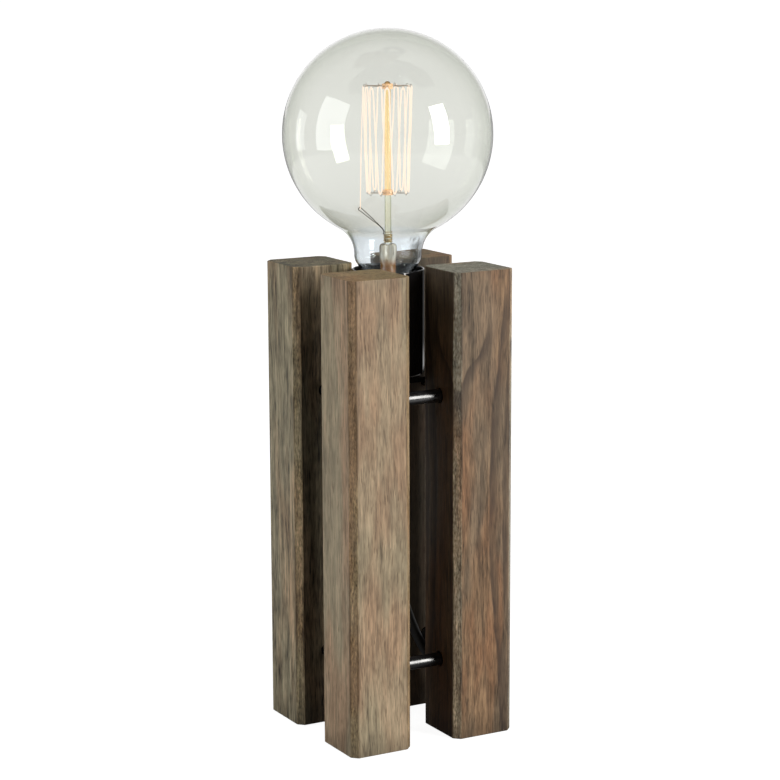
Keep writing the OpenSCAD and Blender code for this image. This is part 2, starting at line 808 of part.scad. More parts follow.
module cord_coil() {
    echo(least_gap_of_coil = least_gap(coil_line));
    color(black_rubber) swept(coil_line, cord_d / 2, wire_sides, [1, 0, 0]);
}

// A flat strap round all the turns, on the side of the coil away from the lamp
module coil_strap() {
    inner = coil_at[1] + coil_r(coil_reversal) - cord_d / 2 - soft_room;
    outer = coil_at[1] + coil_r(90) + cord_d / 2 + soft_room;
    foot = coil_at[2] - cord_d / 2 - 0.05;
    top = coil_at[2] + coil_pitch + cord_d / 2 + 0.05;
    color(black_rubber) translate([coil_at[0] - strap_w / 2, 0, 0]) difference() {
        translate([0, inner - strap_t, foot - strap_t])
            cube([strap_w, outer - inner + 2 * strap_t, top - foot + 2 * strap_t]);
        translate([-past, inner, foot]) cube([strap_w + 2 * past, outer - inner, top - foot]);
    }
}

// A rectangle with round corners
module round_rectangle(w, l, r) {
    square([w - 2 * r, l], center = true);
    square([w, l - 2 * r], center = true);
    for (x = [-1, 1]) for (y = [-1, 1]) translate([x * (w / 2 - r), y * (l / 2 - r)]) circle(r = r);
}

// The switch's outer form, a wall further in
module switch_form(wall) {
    intersection() {
        linear_extrude(switch_h - wall)
            round_rectangle(switch_w - 2 * wall, switch_l - 2 * wall, plan_round - wall);
        translate([0, switch_l, switch_h / 2]) rotate([90, 0, 0]) linear_extrude(2 * switch_l)
            round_rectangle(switch_w - 2 * wall, switch_h - 2 * wall, switch_round - wall);
    }
}

// Both shells of the switch in one, hollow, with the collars that the lead passes
module switch_shells() {
    bore_d = cord_d + 0.1;
    difference() {
        union() {
            switch_form(0);
            translate([0, -switch_l / 2 - collar_l, split_z]) rotate([-90, 0, 0])
                cylinder(d = collar_d, h = switch_l + 2 * collar_l);
        }
        switch_form(switch_wall);
        translate([0, -switch_l / 2 - collar_l - past, split_z]) rotate([-90, 0, 0])
            cylinder(d = bore_d, h = switch_l + 2 * (collar_l + past));
    }
}

screw_d = 2.5;
screw_head_d = 5;
screw_x = switch_w / 2 - switch_wall - screw_head_d / 2;
screw_y = switch_l / 2 - plan_round;

module switch_base() {
    color(black_plastic) translate(switch_at) difference() {
        union() {
            intersection() {
                switch_shells();
                translate([-switch_w, -switch_l, -past]) cube([2 * switch_w, 2 * switch_l, split_z + past]);
            }
            for (side = [-1, 1]) translate([side * screw_x, side * screw_y, 0.5])
                cylinder(d = screw_head_d + 1, h = split_z - 0.5);
        }
        for (side = [-1, 1]) translate([side * screw_x, side * screw_y, -past]) {
            cylinder(d = screw_d + 0.2, h = split_z + 2 * past);
            cylinder(d = screw_head_d + 0.2, h = 2.5 + past);
        }
    }
}

pivot_z = switch_h - 5;
pivot_room = 0.05;
opening_w = rocker_w + 0.8;
opening_l = rocker_l + 3;
lug_w = 2.4;

module switch_cover() {
    lug_x = rocker_w / 2 + 0.5;
    color(black_plastic) translate(switch_at) difference() {
        union() {
            intersection() {
                switch_shells();
                translate([-switch_w, -switch_l, split_z]) cube([2 * switch_w, 2 * switch_l, switch_h]);
            }
            for (side = [-1, 1]) translate([side * (lug_x + lug_w / 2) - lug_w / 2, -3, pivot_z - 2.5])
                cube([lug_w, 6, switch_h - switch_wall / 2 - pivot_z + 2.5]);
            for (side = [-1, 1]) translate([side * screw_x, side * screw_y, split_z])
                cylinder(d = screw_head_d + 1, h = switch_h - switch_wall / 2 - split_z);
        }
        translate([-opening_w / 2, -opening_l / 2, pivot_z + 2.6])
            cube([opening_w, opening_l, switch_h]);
        translate([-switch_w / 2, 0, pivot_z]) rotate([0, 90, 0])
            translate([0, 0, switch_w / 2 - lug_x - lug_w])
            cylinder(d = rocker_pin_d + 2 * pivot_room, h = 2 * (lug_x + lug_w));
        for (side = [-1, 1]) translate([side * screw_x, side * screw_y, split_z - past])
            cylinder(d = screw_d + 0.1, h = 5 + past);
    }
}

// The rocker, drawn at the end of its throw where the side towards the lamp is pressed
module switch_rocker() {
    h = rocker_l / 2;
    color(black_plastic) translate(switch_at + [0, 0, pivot_z]) rotate([rocker_throw / 2, 0, 0])
        difference() {
            translate([-rocker_w / 2, 0, 0]) rotate([90, 0, 90]) linear_extrude(rocker_w) polygon([
                [-h, 6.2], [-h, 1.5], [-h / 2, -1.8], [h / 2, -1.8], [h, 1.5], [h, 6.2], [0, 4.6]
            ]);
            translate([-rocker_w, 0, 0]) rotate([0, 90, 0])
                cylinder(d = rocker_pin_d + 2 * pivot_room, h = 2 * rocker_w);
        }
}

module rocker_pin() {
    pin_l = rocker_w + 1 + 2 * lug_w;
    color(steel) translate(switch_at + [-pin_l / 2, 0, pivot_z]) rotate([0, 90, 0])
        cylinder(d = rocker_pin_d, h = pin_l);
}

module switch_contacts() {
    color(brass) for (side = [-1, 1])
        translate(switch_at + [-5.5, side * 8 - 3, switch_wall]) cube([5, 6, 3]);
}

// The ends of the lead inside the collars, and the cores between them and the contacts
module switch_leads() {
    inside = 9;
    core_r = 1;
    end = switch_l / 2 + collar_l;
    color(black_rubber) for (side = [-1, 1])
        translate(switch_at + [0, side * end, split_z]) rotate([side * 90, 0, 0])
            cylinder(d = cord_d, h = collar_l + inside);
    color(copper) translate(switch_at) swept([
        [1.6, inside - switch_l / 2 - 0.5, split_z], [5, inside - switch_l / 2 + 5, split_z - 3],
        [7, 0, split_z - 5], [5, switch_l / 2 - inside - 5, split_z - 3],
        [1.6, switch_l / 2 - inside + 0.5, split_z]
    ], core_r, wire_sides);
    color(copper) for (side = [-1, 1]) translate(switch_at) swept([
        [-1.6, side * (switch_l / 2 - inside + 0.5), split_z],
        [-2.5, side * (switch_l / 2 - inside - 2), split_z - 2],
        [-3, side * 11.5, switch_wall + 1.5]
    ], core_r, wire_sides);
}

module switch_screws() {
    head_z = 0.6;
    color(steel) for (side = [-1, 1])
        translate(switch_at + [side * screw_x, side * screw_y, head_z]) {
            cylinder(d = screw_head_d, h = 1.9);
            cylinder(d = screw_d, h = split_z - head_z + 4);
        }
}

// Outline of the flat plug: wide at its pins, tapering to the lead
module plug_outline() {
    w = plug_w / 2;
    neck = 6;
    polygon([
        [-w + 2, -plug_l], [w - 2, -plug_l], [w, -plug_l + 2], [w, -plug_l * 0.45],
        [neck, 0], [-neck, 0], [-w, -plug_l * 0.45], [-w, -plug_l + 2]
    ]);
}

module plug_body() {
    hole_l = 9;
    color(black_plastic) translate(plug_at) difference() {
        union() {
            translate([0, 0, -plug_t / 2]) intersection() {
                linear_extrude(plug_t) plug_outline();
                translate([0, -plug_l - past, plug_t / 2]) rotate([-90, 0, 0])
                    linear_extrude(plug_l + 2 * past) round_rectangle(plug_w, plug_t, 3);
            }
            rotate([-90, 0, 0]) cylinder(r1 = 5.4, r2 = cord_d / 2 + 1, h = plug_tail_l);
        }
        translate([0, plug_tail_l - 8, 0]) rotate([-90, 0, 0])
            cylinder(d = cord_d + 0.1, h = 8 + past, $fn = 48);
        for (side = [-1, 1]) translate([side * plug_pin_pitch / 2, -plug_l - past, 0]) rotate([-90, 0, 0])
            cylinder(d = plug_pin_d - 1 + 0.1, h = hole_l + past);
    }
}

module plug_pins() {
    inside = 8.5;
    color(brass) for (side = [-1, 1])
        translate(plug_at + [side * plug_pin_pitch / 2, -plug_l, 0]) rotate([90, 0, 0]) {
            translate([0, 0, -inside]) cylinder(d = plug_pin_d - 1, h = inside + past);
            cylinder(d = plug_pin_d, h = plug_pin_l - plug_pin_d / 2);
            translate([0, 0, plug_pin_l - plug_pin_d / 2]) sphere(d = plug_pin_d);
        }
}

post(-1, -1);  // post_front
post(1, -1);  // post_right
post(-1, 1);  // post_left
post(1, 1);  // post_back
rod_along_x(-1, upper_rod_z);  // upper_rod_front_right
rod_along_x(1, upper_rod_z);  // upper_rod_left_back
strip_rod(-1);  // upper_rod_front_left
strip_rod(1);  // upper_rod_right_back
rod_along_x(-1, lower_rod_z);  // lower_rod_front_right
rod_along_x(1, lower_rod_z);  // lower_rod_left_back
rod_along_y(-1, lower_rod_z);  // lower_rod_front_left
rod_along_y(1, lower_rod_z);  // lower_rod_right_back
mounting_strip();
strip_screws();
threaded_tube();
strip_nut();
cup_spacer();
cup_nut();
cord_grip();
holder_cup();
holder_base();
holder_insert();
screw_shell();
holder_sleeve();
centre_contact();
terminal_screws();
holder_leads();
cap_tip();
cap_insulator();
screw_cap();
bulb_glass();
bulb_stem();
exhaust_tube();
glass_rod();
top_hub();
bottom_hub();
top_hooks();
bottom_hooks();
filament();
lead_wires();
lead_crimp();
cord_lead();
cord_run();
cord_coil();
cord_tail();
coil_strap();
switch_base();
switch_cover();
switch_rocker();
rocker_pin();
switch_contacts();
switch_leads();
switch_screws();
plug_body();
plug_pins();
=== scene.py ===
import math

import bmesh
import bpy
from mathutils import Matrix, Quaternion, Vector


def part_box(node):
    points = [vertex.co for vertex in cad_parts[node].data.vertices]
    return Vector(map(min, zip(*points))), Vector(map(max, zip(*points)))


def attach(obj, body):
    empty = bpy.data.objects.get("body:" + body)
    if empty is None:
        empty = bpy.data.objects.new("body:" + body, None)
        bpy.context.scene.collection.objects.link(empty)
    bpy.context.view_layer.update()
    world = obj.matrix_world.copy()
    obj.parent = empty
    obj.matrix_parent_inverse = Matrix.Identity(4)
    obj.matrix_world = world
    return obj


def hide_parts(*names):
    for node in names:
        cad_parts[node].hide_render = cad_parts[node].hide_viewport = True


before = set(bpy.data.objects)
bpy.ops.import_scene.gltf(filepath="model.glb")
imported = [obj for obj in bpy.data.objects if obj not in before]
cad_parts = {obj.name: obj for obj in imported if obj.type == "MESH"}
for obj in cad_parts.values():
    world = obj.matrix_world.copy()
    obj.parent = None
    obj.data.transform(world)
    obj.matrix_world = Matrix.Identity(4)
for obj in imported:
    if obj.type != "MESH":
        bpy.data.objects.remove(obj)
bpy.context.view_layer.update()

scene = bpy.context.scene
scene.view_settings.view_transform = "Standard"


# ---------------------------------------------------------------- Camera
# A long lens a little above the post tops, looking at the edge of the front
# post from its left, so that both outer faces of three posts show.
def way_to(azimuth, elevation):
    """The direction from the lamp to what stands at an azimuth and an elevation, in degrees."""
    turn, rise = math.radians(azimuth), math.radians(elevation)
    return Vector((math.sin(turn) * math.cos(rise), -math.cos(turn) * math.cos(rise), math.sin(rise)))


camera_azimuth = -29.057
camera_elevation = 10.685
camera_reach = 1.4644
camera_tilt = math.radians(-0.218)
camera_target = Vector((0.01908, 0.03263, 0.20027))
camera_data = bpy.data.cameras.new("camera")
camera_data.sensor_width = 36
camera_data.lens = 109.0
camera_data.clip_end = 60
camera = bpy.data.objects.new("camera", camera_data)
scene.collection.objects.link(camera)
towards_camera = way_to(camera_azimuth, camera_elevation)
camera.location = camera_target + camera_reach * towards_camera
camera.rotation_mode = "QUATERNION"
camera.rotation_quaternion = ((-towards_camera).to_track_quat("-Z", "Y")
                              @ Quaternion((0, 0, 1), camera_tilt))
scene.camera = camera


# ---------------------------------------------------------------- Mains lead
# A round two-core lead with a black plastic sheath, 6 mm across. It comes down from
# the cord grip between the posts, runs under the lower rod to the in-line switch,
# and on into a strapped coil that ends at the plug.
class Signal:
    """What one socket gives, for sums with numbers and with other signals."""

    def __init__(self, socket):
        self.socket = socket
        self.tree = socket.id_data

    def __add__(self, other):
        return maths("ADD", self, other)

    def __sub__(self, other):
        return maths("SUBTRACT", self, other)

    def __rsub__(self, other):
        return maths("SUBTRACT", other, self)

    def __mul__(self, other):
        return maths("MULTIPLY", self, other)

    def __truediv__(self, other):
        return maths("DIVIDE", self, other)

    def __rtruediv__(self, other):
        return maths("DIVIDE", other, self)

    __radd__ = __add__
    __rmul__ = __mul__


def join(value, socket):
    """A socket takes a value, or is fed by a signal."""
    if isinstance(value, Signal):
        socket.id_data.links.new(value.socket, socket)
    elif socket.type == "RGBA":
        socket.default_value = (*value, 1)
    else:
        socket.default_value = value


def add_node(tree, kind, values=None, **settings):
    """A node with its settings, its inputs set to values or fed by signals."""
    made = tree.nodes.new(kind)
    for name, value in settings.items():
        setattr(made, name, value)
    for name, value in (values or {}).items():
        join(value, made.inputs[name])
    return made


def from_node(tree, kind, values=None, output=0, **settings):
    """What a new node gives at one of its outputs."""
    return Signal(add_node(tree, kind, values, **settings).outputs[output])


def signals(node):
    """All that a node gives, by name."""
    return {socket.name: Signal(socket) for socket in node.outputs}


def shared_tree(values):
    """The node tree that the signals among the values belong to."""
    return next(value.tree for value in values if isinstance(value, Signal))


def maths(operation, *values):
    """The result of one step of arithmetic."""
    return from_node(shared_tree(values), "ShaderNodeMath", dict(enumerate(values)), operation=operation)


def vector_maths(operation, *values):
    """The same for vectors; a dot product and a length give a level."""
    sockets = (0, 3) if operation == "SCALE" else (0, 1, 2)
    output = 1 if operation in ("DOT_PRODUCT", "LENGTH") else 0
    return from_node(shared_tree(values), "ShaderNodeVectorMath", dict(zip(sockets, values)), output,
                     operation=operation)


def parts(vector):
    """The x, y and z of a vector."""
    return list(signals(add_node(vector.tree, "ShaderNodeSeparateXYZ", {0: vector})).values())


def vector_of(*values):
    """A vector from its x, y and z."""
    return from_node(shared_tree(values), "ShaderNodeCombineXYZ", dict(enumerate(values)))


def place_on(tree):
    """Where a point of the surface lies, in the part's own frame."""
    return from_node(tree, "ShaderNodeTexCoord", output="Object")


def height_on(tree):
    return parts(place_on(tree))[2]


def shaded(colour, level):
    """A colour made lighter or darker by a level."""
    return vector_maths("SCALE", colour, level)


def mix_colours(share, first, second, how="MIX"):
    """Two colours mixed by a share."""
    return from_node(shared_tree((share, first, second)), "ShaderNodeMix",
                     {0: share, 6: first, 7: second}, 2, data_type="RGBA", blend_type=how)


def mix_levels(share, first, second):
    """Two levels mixed by a share."""
    return from_node(shared_tree((share, first, second)), "ShaderNodeMix",
                     {0: share, 2: first, 3: second}, data_type="FLOAT")


def noise(vector, stretch, detail=2.0, roughness=0.5, shift=0.0, output="Fac"):
    """Noise drawn out along the axes, one feature to 1 / stretch metres."""
    moved = vector_maths("MULTIPLY_ADD", vector, stretch, (shift, shift, shift))
    return from_node(vector.tree, "ShaderNodeTexNoise", {
        "Vector": moved, "Scale": 1.0, "Detail": detail, "Roughness": roughness}, output)


def ramp(value, low, high, out_low=0.0, out_high=1.0, smooth=True):
    """A level spread from one range to another, with soft ends."""
    return from_node(value.tree, "ShaderNodeMapRange", {
        "Value": value, "From Min": low, "From Max": high, "To Min": out_low, "To Max": out_high},
        interpolation_type="SMOOTHSTEP" if smooth else "LINEAR")


def band(value, rise, fall):
    """A level that is 1 between where it rises and where it falls."""
    return ramp(value, *rise) * ramp(value, *fall, 1.0, 0.0)


def new_group(name, family, inputs, outputs):
    """An empty node group, from the labels of its inputs and outputs by kind: its tree, the
    signals it is given, and the sockets it gives out."""
    tree = bpy.data.node_groups.new(name, family)
    for in_out, wanted in (("INPUT", inputs), ("OUTPUT", outputs)):
        for kind, labels in wanted.items():
            for label in labels:
                tree.interface.new_socket(name=label, in_out=in_out, socket_type="NodeSocket" + kind)
    given = signals(tree.nodes.new("NodeGroupInput"))
    return tree, given, tree.nodes.new("NodeGroupOutput").inputs


def new_material(name, colour, roughness, metallic=0.0, specular=0.5):
    """A material with its Principled shader, ready for what varies it."""
    made = bpy.data.materials.new(name)
    made.use_nodes = True
    shader = made.node_tree.nodes["Principled BSDF"]
    for label, value in (("Base Color", colour), ("Roughness", roughness), ("Metallic", metallic),
                         ("Specular IOR Level", specular)):
        join(value, shader.inputs[label])
    return made, shader


def raise_grain(shader, height, depth, strength=0.6):
    """The shader's surface follows a height, as bump of a depth."""
    join(from_node(height.tree, "ShaderNodeBump", {
        "Strength": strength, "Distance": depth, "Height": height}), shader.inputs["Normal"])


def handled_surface():
    """Faint rubs and grain of a surface that has been handled: a mask, and a height for bump."""
    tree, given, out = new_group("handled_surface", "ShaderNodeTree", {
        "Float": ["Rub Size", "Grain Size", "Low Roughness", "High Roughness"]},
        {"Float": ["Roughness", "Height", "Mask"]})
    place = place_on(tree)
    rubs = from_node(tree, "ShaderNodeTexNoise", {
        "Vector": place, "Scale": 1.0 / given["Rub Size"], "Detail": 5.0, "Roughness": 0.6})
    grain = from_node(tree, "ShaderNodeTexNoise", {
        "Vector": place, "Scale": 1.0 / given["Grain Size"], "Detail": 2.0})
    mask = ramp(rubs, 0.35, 0.68)
    join(mask, out["Mask"])
    join(ramp(mask, 0.0, 1.0, given["Low Roughness"], given["High Roughness"], smooth=False),
         out["Roughness"])
    join(grain, out["Height"])
    return tree


handled = handled_surface()


def handled_material(name, colour, worn_colour, roughness, marks, metallic=0.0, specular=0.5):
    """A plain finish with the marks of use: the sizes of its rubs and grain and the grain's depth
    are in mm, and its roughness runs from one value to another."""
    rub, grain, depth = marks
    made, shader = new_material(name, colour, roughness[0], metallic, specular)
    worn = signals(add_node(made.node_tree, "ShaderNodeGroup", {
        "Rub Size": rub * mm, "Grain Size": grain * mm, "Low Roughness": roughness[0],
        "High Roughness": roughness[1]}, node_tree=handled))
    join(mix_colours(worn["Mask"], colour, worn_colour), shader.inputs["Base Color"])
    join(worn["Roughness"], shader.inputs["Roughness"])
    raise_grain(shader, worn["Height"], depth * mm)
    return made


def set_material(piece, material):
    """One material for the whole piece."""
    piece.data.materials.clear()
    piece.data.materials.append(material)


def finish_nodes(material, slot, *names):
    """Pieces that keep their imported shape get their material."""
    for name in names:
        set_material(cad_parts[name], material)


def put_in_place(piece, material, body, slot, *nodes):
    """A piece with its material takes the place of its nodes, on the body that carries it."""
    set_material(piece, material)
    if nodes:
        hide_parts(*nodes)
    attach(piece, body)


def smooth_line(points, steps):
    """A smooth curve through the points of a route, in so many steps from each to the next."""
    ends = [2 * points[0] - points[1], *points, 2 * points[-1] - points[-2]]
    line = []
    for a, b, c, d in zip(ends, ends[1:], ends[2:], ends[3:]):
        for step in range(steps):
            t = step / steps
            line.append(0.5 * (2 * b + (c - a) * t + (2 * a - 5 * b + 4 * c - d) * t * t
                               + (3 * b - a - 3 * c + d) * t ** 3))
    return [*line, points[-1]]


def line_length(line):
    return sum((b - a).length for a, b in zip(line, line[1:]))


def round_lead(name, line, width, facets=4):
    """A round lead along a line, as a curve of one spline."""
    data = bpy.data.curves.new(name, "CURVE")
    data.dimensions = "3D"
    data.bevel_depth = width / 2
    data.bevel_resolution = facets
    data.use_fill_caps = True
    spline = data.splines.new("POLY")
    spline.points.add(len(line) - 1)
    for point, at in zip(spline.points, line):
        point.co = (*at, 1)
    spline.use_smooth = True
    piece = bpy.data.objects.new(name, data)
    scene.collection.objects.link(piece)
    return piece


mm = 0.001
cord_width = 6 * mm
lead_route = [
    (0, 0, 172), (0, 0, 160), (0, 0, 148), (0.3, 0, 136), (1.2, 0, 124), (2.4, 0, 112), (4.2, 0, 100),
    (6.6, 0, 88), (11.4, 0, 71), (15.8, 0, 59), (21.4, 0, 47), (28, 0, 36), (35.3, 0, 26),
    (43.5, 0, 17), (53.5, 0, 9.5), (64, 0.5, 4.8), (74, 3, 3.1), (82.5, 8, 3.6), (88.2, 14.5, 5.3),
    (91.2, 21.5, 7.6), (92, 27, 8.9), (92, 29, 9), (92, 31, 9),
]
run_route = [
    (92, 109, 9), (92, 111, 9), (92, 115, 8.6), (92, 119, 7.4), (92, 123, 5.9), (92, 127, 4.5),
    (92, 131, 3.7), (92, 133, 3.6), (92, 134, 3.6),
]
tail_route = [
    (0, 134, 10.2), (0, 132, 10.2), (0, 128, 9.9), (0, 124, 9.2), (0, 120, 8.4), (0, 116, 7.6),
    (0, 112.5, 7.1), (0, 111, 7), (0, 110, 7),
]
route_steps = 3
coil_middle = Vector((46, 140, 3.6))
coil_outer = 46
coil_turns = 6.5
coil_pitch = 6.6
rings_per_turn = 36
coil_reversal = 180 * coil_turns
climb_span = 180


def coil_point(angle):
    """The coil winds in on the floor and out again on top, and climbs half way between."""
    radius = coil_outer - coil_pitch * (coil_reversal - abs(angle - coil_reversal)) / 360
    climbed = min(1, max(0, (angle - coil_reversal) / climb_span + 0.5))
    turn = math.radians(angle)
    return coil_middle + Vector((
        radius * math.cos(turn), radius * math.sin(turn),
        coil_pitch * (1 - math.cos(math.pi * climbed)) / 2))


def to_metres(points):
    return [Vector(p) * mm for p in points]


sheath = handled_material("black_sheath", (0.012, 0.012, 0.013), (0.022, 0.022, 0.023), (0.36, 0.5),
                          (30, 0.9, 0.03))
lamp_line = smooth_line(to_metres(lead_route), route_steps)
coil_line = to_metres(coil_point(step * 360 / rings_per_turn)
                      for step in range(int(coil_turns * rings_per_turn) + 1))
mains_line = (smooth_line(to_metres(run_route), route_steps)[:-1] + coil_line
              + smooth_line(to_metres(tail_route), route_steps)[1:])
lamp_lead = round_lead("lamp_lead", lamp_line, cord_width)
put_in_place(lamp_lead, sheath, "root", "rubber", "cord_lead")
mains_lead = round_lead("mains_lead", mains_line, cord_width)
put_in_place(mains_lead, sheath, "root", "rubber", "cord_run", "cord_coil", "cord_tail")


# ---------------------------------------------------------------- Posts
# Four square posts of a stained hardwood, grey-brown with an oiled finish. Each has
# chamfered long edges, its sharp arrises rubbed down, and sockets for the cross rods.
post_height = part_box("post_front")[1].z
post_chamfer = 3.75 * mm
arris = 0.55 * mm
socket_radius = 4.45 * mm
socket_depth = 14 * mm
bore_clearance = 2 * mm
rod_heights = [sum(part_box(name)[end].z for end in (0, 1)) / 2
               for name in ("lower_rod_front_right", "upper_rod_front_right")]

# Each vein's course is its place across the face in mm at shares of the post's height;
# then come how far its soft side reaches in mm, its depth, and the shares it runs between.
vein_span = 60
veins = (
    (((0.0, 12.7), (0.135, 9.2), (0.326, 5.0), (0.511, 2.9), (0.661, 3.8), (0.768, 7.4),
      (0.876, 11.0), (0.961, 13.1), (1.0, 14.0)), 9.0, 0.86, -0.1, 0.97),
    (((0.0, -20.0), (0.74, -19.0), (0.775, -15.6), (0.80, -12.0), (0.83, -3.5), (0.85, -1.0),
      (0.875, 1.5), (0.9, 2.5), (1.0, 5.0)), 11.0, 0.8, 0.66, 0.9),
    (((0.0, 3.0), (0.2, -1.0), (0.42, -4.5), (0.62, -2.5), (0.74, 1.5), (0.9, 6.0), (1.0, 7.0)),
     3.0, 0.4, 0.0, 0.7),
    (((0.0, 15.0), (0.3, 14.0), (0.55, 12.0), (0.7, 14.0), (0.85, 15.5), (1.0, 16.0)),
     6.0, 0.75, 0.25, 0.85),
)


def wood_grain():
    """The grain of one post: patches of hue, fibres, flecks, veins, what stain does at the edges, and painted
    light and shade on its faces and arrises.
    """
    tree, given, out = new_group("wood_grain", "ShaderNodeTree", {
        "Vector": ["Centre"],
        "Color": ["Pale", "Warm", "Grey", "Dark", "Edge Shade", "End Shade"],
        "Float": ["Shift", "Depth", "Half Width", "Chamfer", "Grey Share", "Vein Depth", "Vein Shift",
                  "Inner Shade", "X Face Light", "Y Face Top Light", "Y Face Foot Light"]},
        {"Color": ["Color"], "Float": ["Roughness", "Height"]})
    place = place_on(tree)
    local = vector_maths("SUBTRACT", place, given["Centre"])
    shifted = vector_maths("ADD", local, given["Shift"])
    # Fibres wander a little from side to side as they run up the post
    wander = noise(shifted, (22, 22, 11), output="Color")
    fibres = vector_maths("MULTIPLY_ADD", wander, (6 * mm, 6 * mm, 0), shifted)
    # Broad patches of hue, then middling and short fibres, then dark pores and pale flecks
    patches = noise(fibres, (62, 62, 13), roughness=0.6)
    greys = noise(fibres, (40, 40, 9), shift=7.7)
    soft = noise(fibres, (120, 120, 42), roughness=0.55, shift=4.1)
    middling = noise(fibres, (430, 430, 24), detail=4, roughness=0.62, shift=1.3)
    short = noise(fibres, (1250, 1250, 110), roughness=0.6, shift=5.9)
    pores = ramp(noise(fibres, (1300, 1300, 120), detail=1, shift=9.2), 0.59, 0.70)
    pale_flecks = ramp(noise(fibres, (1100, 1100, 95), detail=1, shift=2.9), 0.60, 0.72)
    hue = mix_colours(ramp(patches, 0.38, 0.60), given["Pale"], given["Warm"])
    hue = mix_colours(ramp(greys, 0.42, 0.58) * given["Grey Share"], hue, given["Grey"])
    shade = (middling - 0.5) * 1.7 + (short - 0.5) * 1.4 + (soft - 0.5) * 0.9
    colour = shaded(hue, shade * given["Depth"] + 1.0)
    colour = mix_colours(pale_flecks * 0.3, colour, given["Pale"])
    dark = pores * 0.5
    # Dark veins that wander across a face as they climb, sharp on one side and soft on the other
    normal = from_node(tree, "ShaderNodeNewGeometry", output="Normal")
    facing_x, _, facing_z = parts(normal)
    local_x, local_y, _ = parts(local)
    climb = parts(place)[2] / post_height
    turned_side = ramp(maths("ABSOLUTE", facing_x), 0.6, 0.8, smooth=False)
    ripple = noise(shifted, (60, 60, 28), detail=3, shift=6.2) - 0.5
    along = mix_levels(turned_side, local_x, local_y) + given["Vein Shift"] + ripple * (4 * mm)
    for bends, soft_side, depth, starts, stops in veins:
        course = add_node(tree, "ShaderNodeFloatCurve", {"Value": climb})
        line = course.mapping.curves[0]
        spots = [(share, across / vein_span + 0.5) for share, across in bends]
        for spot, at in zip(line.points, (spots[0], spots[-1])):
            spot.location = at
        for at in spots[1:-1]:
            line.points.new(*at)
        course.mapping.update()
        beyond = along - (Signal(course.outputs[0]) - 0.5) * (vein_span * mm)
        vein = band(beyond, (-1 * mm, 0.3 * mm), (0.0, soft_side * mm)) * ramp(soft, 0.3, 0.6, 0.5, 1.0)
        vein = vein * band(climb, (starts, starts + 0.08), (stops - 0.06, stops + 0.02))
        dark = maths("MAXIMUM", dark, vein * given["Vein Depth"] * depth)
    colour = mix_colours(dark, colour, given["Dark"])
    # The chamfers take a tint of their own for each post, darker on some posts and lighter on others, with
    # speckles; their arrises are lighter, partly rubbed thin and partly a painted highlight
    side_x, side_y, _ = parts(vector_maths("ABSOLUTE", local))
    flat = given["Half Width"] - given["Chamfer"]
    corner = side_x + side_y - (flat + given["Half Width"])
    edge_share = ramp(corner, -0.6 * mm, -0.1 * mm) * ramp(soft, 0.25, 0.6, 1.0, 0.6)
    speckle = noise(local, (1250, 1250, 430), shift=3.3) - 0.5
    speckled = shaded(colour, speckle * 3.0 + 1.0)
    edged = mix_colours(1.0, speckled, given["Edge Shade"], "MULTIPLY")
    colour = mix_colours(edge_share, colour, edged)
    arrises = []
    for near, far in ((side_x - flat, side_y - given["Half Width"]),
                      (side_y - flat, side_x - given["Half Width"])):
        arrises.append(maths("SQRT", near * near + far * far))
    edge = maths("MINIMUM", *arrises)
    # Painted highlight along the arrises, partly rubbed finish: lighter lines in places
    here_and_there = ramp(noise(local, (90, 90, 40), shift=4.4), 0.38, 0.62)
    rubbed_and_highlit = ramp(edge, 0.1 * mm, 0.9 * mm, 1.0, 0.0) * here_and_there
    colour = mix_colours(rubbed_and_highlit * 0.5, colour, given["Pale"])
    # Stain that settled along the arrises left a thin dark line here and there
    here_and_there = ramp(noise(local, (75, 75, 17), shift=8.1), 0.5, 0.6)
    settled = ramp(edge, 0.3 * mm, 1.2 * mm, 1.0, 0.0) * here_and_there
    colour = mix_colours(settled * 0.6, colour, given["Dark"])
    # Painted light and shade: each post's X faces, and its Y faces towards the top and towards the foot, are
    # made lighter or darker by their own gains
    y_face_light = mix_levels(ramp(climb, 0.1, 0.85), given["Y Face Foot Light"], given["Y Face Top Light"])
    colour = shaded(colour, mix_levels(turned_side, y_face_light, given["X Face Light"]))
    # Each post is darker over its lowest part and a little darker just under its top; ends are sawn across
    # the fibres, so they are greyer and duller
    colour = shaded(colour, ramp(climb, 0.0, 0.06, 0.68, 1.0) * ramp(climb, 0.965, 1.0, 1.0, 0.88))
    sawn = ramp(maths("ABSOLUTE", facing_z), 0.75, 0.95)
    ended = mix_colours(1.0, colour, given["End Shade"], "MULTIPLY")
    colour = mix_colours(sawn, colour, ended)
    # Painted shade: faces that look into the middle of the lamp are darkened, less so on their chamfers
    to_middle = vector_maths("MULTIPLY", given["Centre"], (-1, -1, 0))
    inward = vector_maths("DOT_PRODUCT", to_middle, normal)
    painted_inner_shade = ramp(inward, 0.012, 0.03) * given["Inner Shade"] * (1.0 - edge_share * 0.8)
    join(shaded(colour, 1.0 - painted_inner_shade), out["Color"])
    join(short * 0.22 + sawn * 0.12 + 0.46, out["Roughness"])
    join(middling * 0.35 + short * 0.6 - dark * 0.6, out["Height"])
    return tree


wood = wood_grain()


def wood_material(name, values):
    """The stained wood of one post."""
    made, shader = new_material(name, (0.3, 0.22, 0.15), 0.55, specular=0.3)
    grain = signals(add_node(made.node_tree, "ShaderNodeGroup", values, node_tree=wood))
    join(grain["Color"], shader.inputs["Base Color"])
    join(grain["Roughness"], shader.inputs["Roughness"])
    raise_grain(shader, grain["Height"], 0.22 * mm)
    return made


def new_piece(name, bm):
    """A piece from the mesh being built."""
    data = bpy.data.meshes.new(name)
    bmesh.ops.recalc_face_normals(bm, faces=bm.faces)
    bm.to_mesh(data)
    bm.free()
    piece = bpy.data.objects.new(name, data)
    scene.collection.objects.link(piece)
    return piece


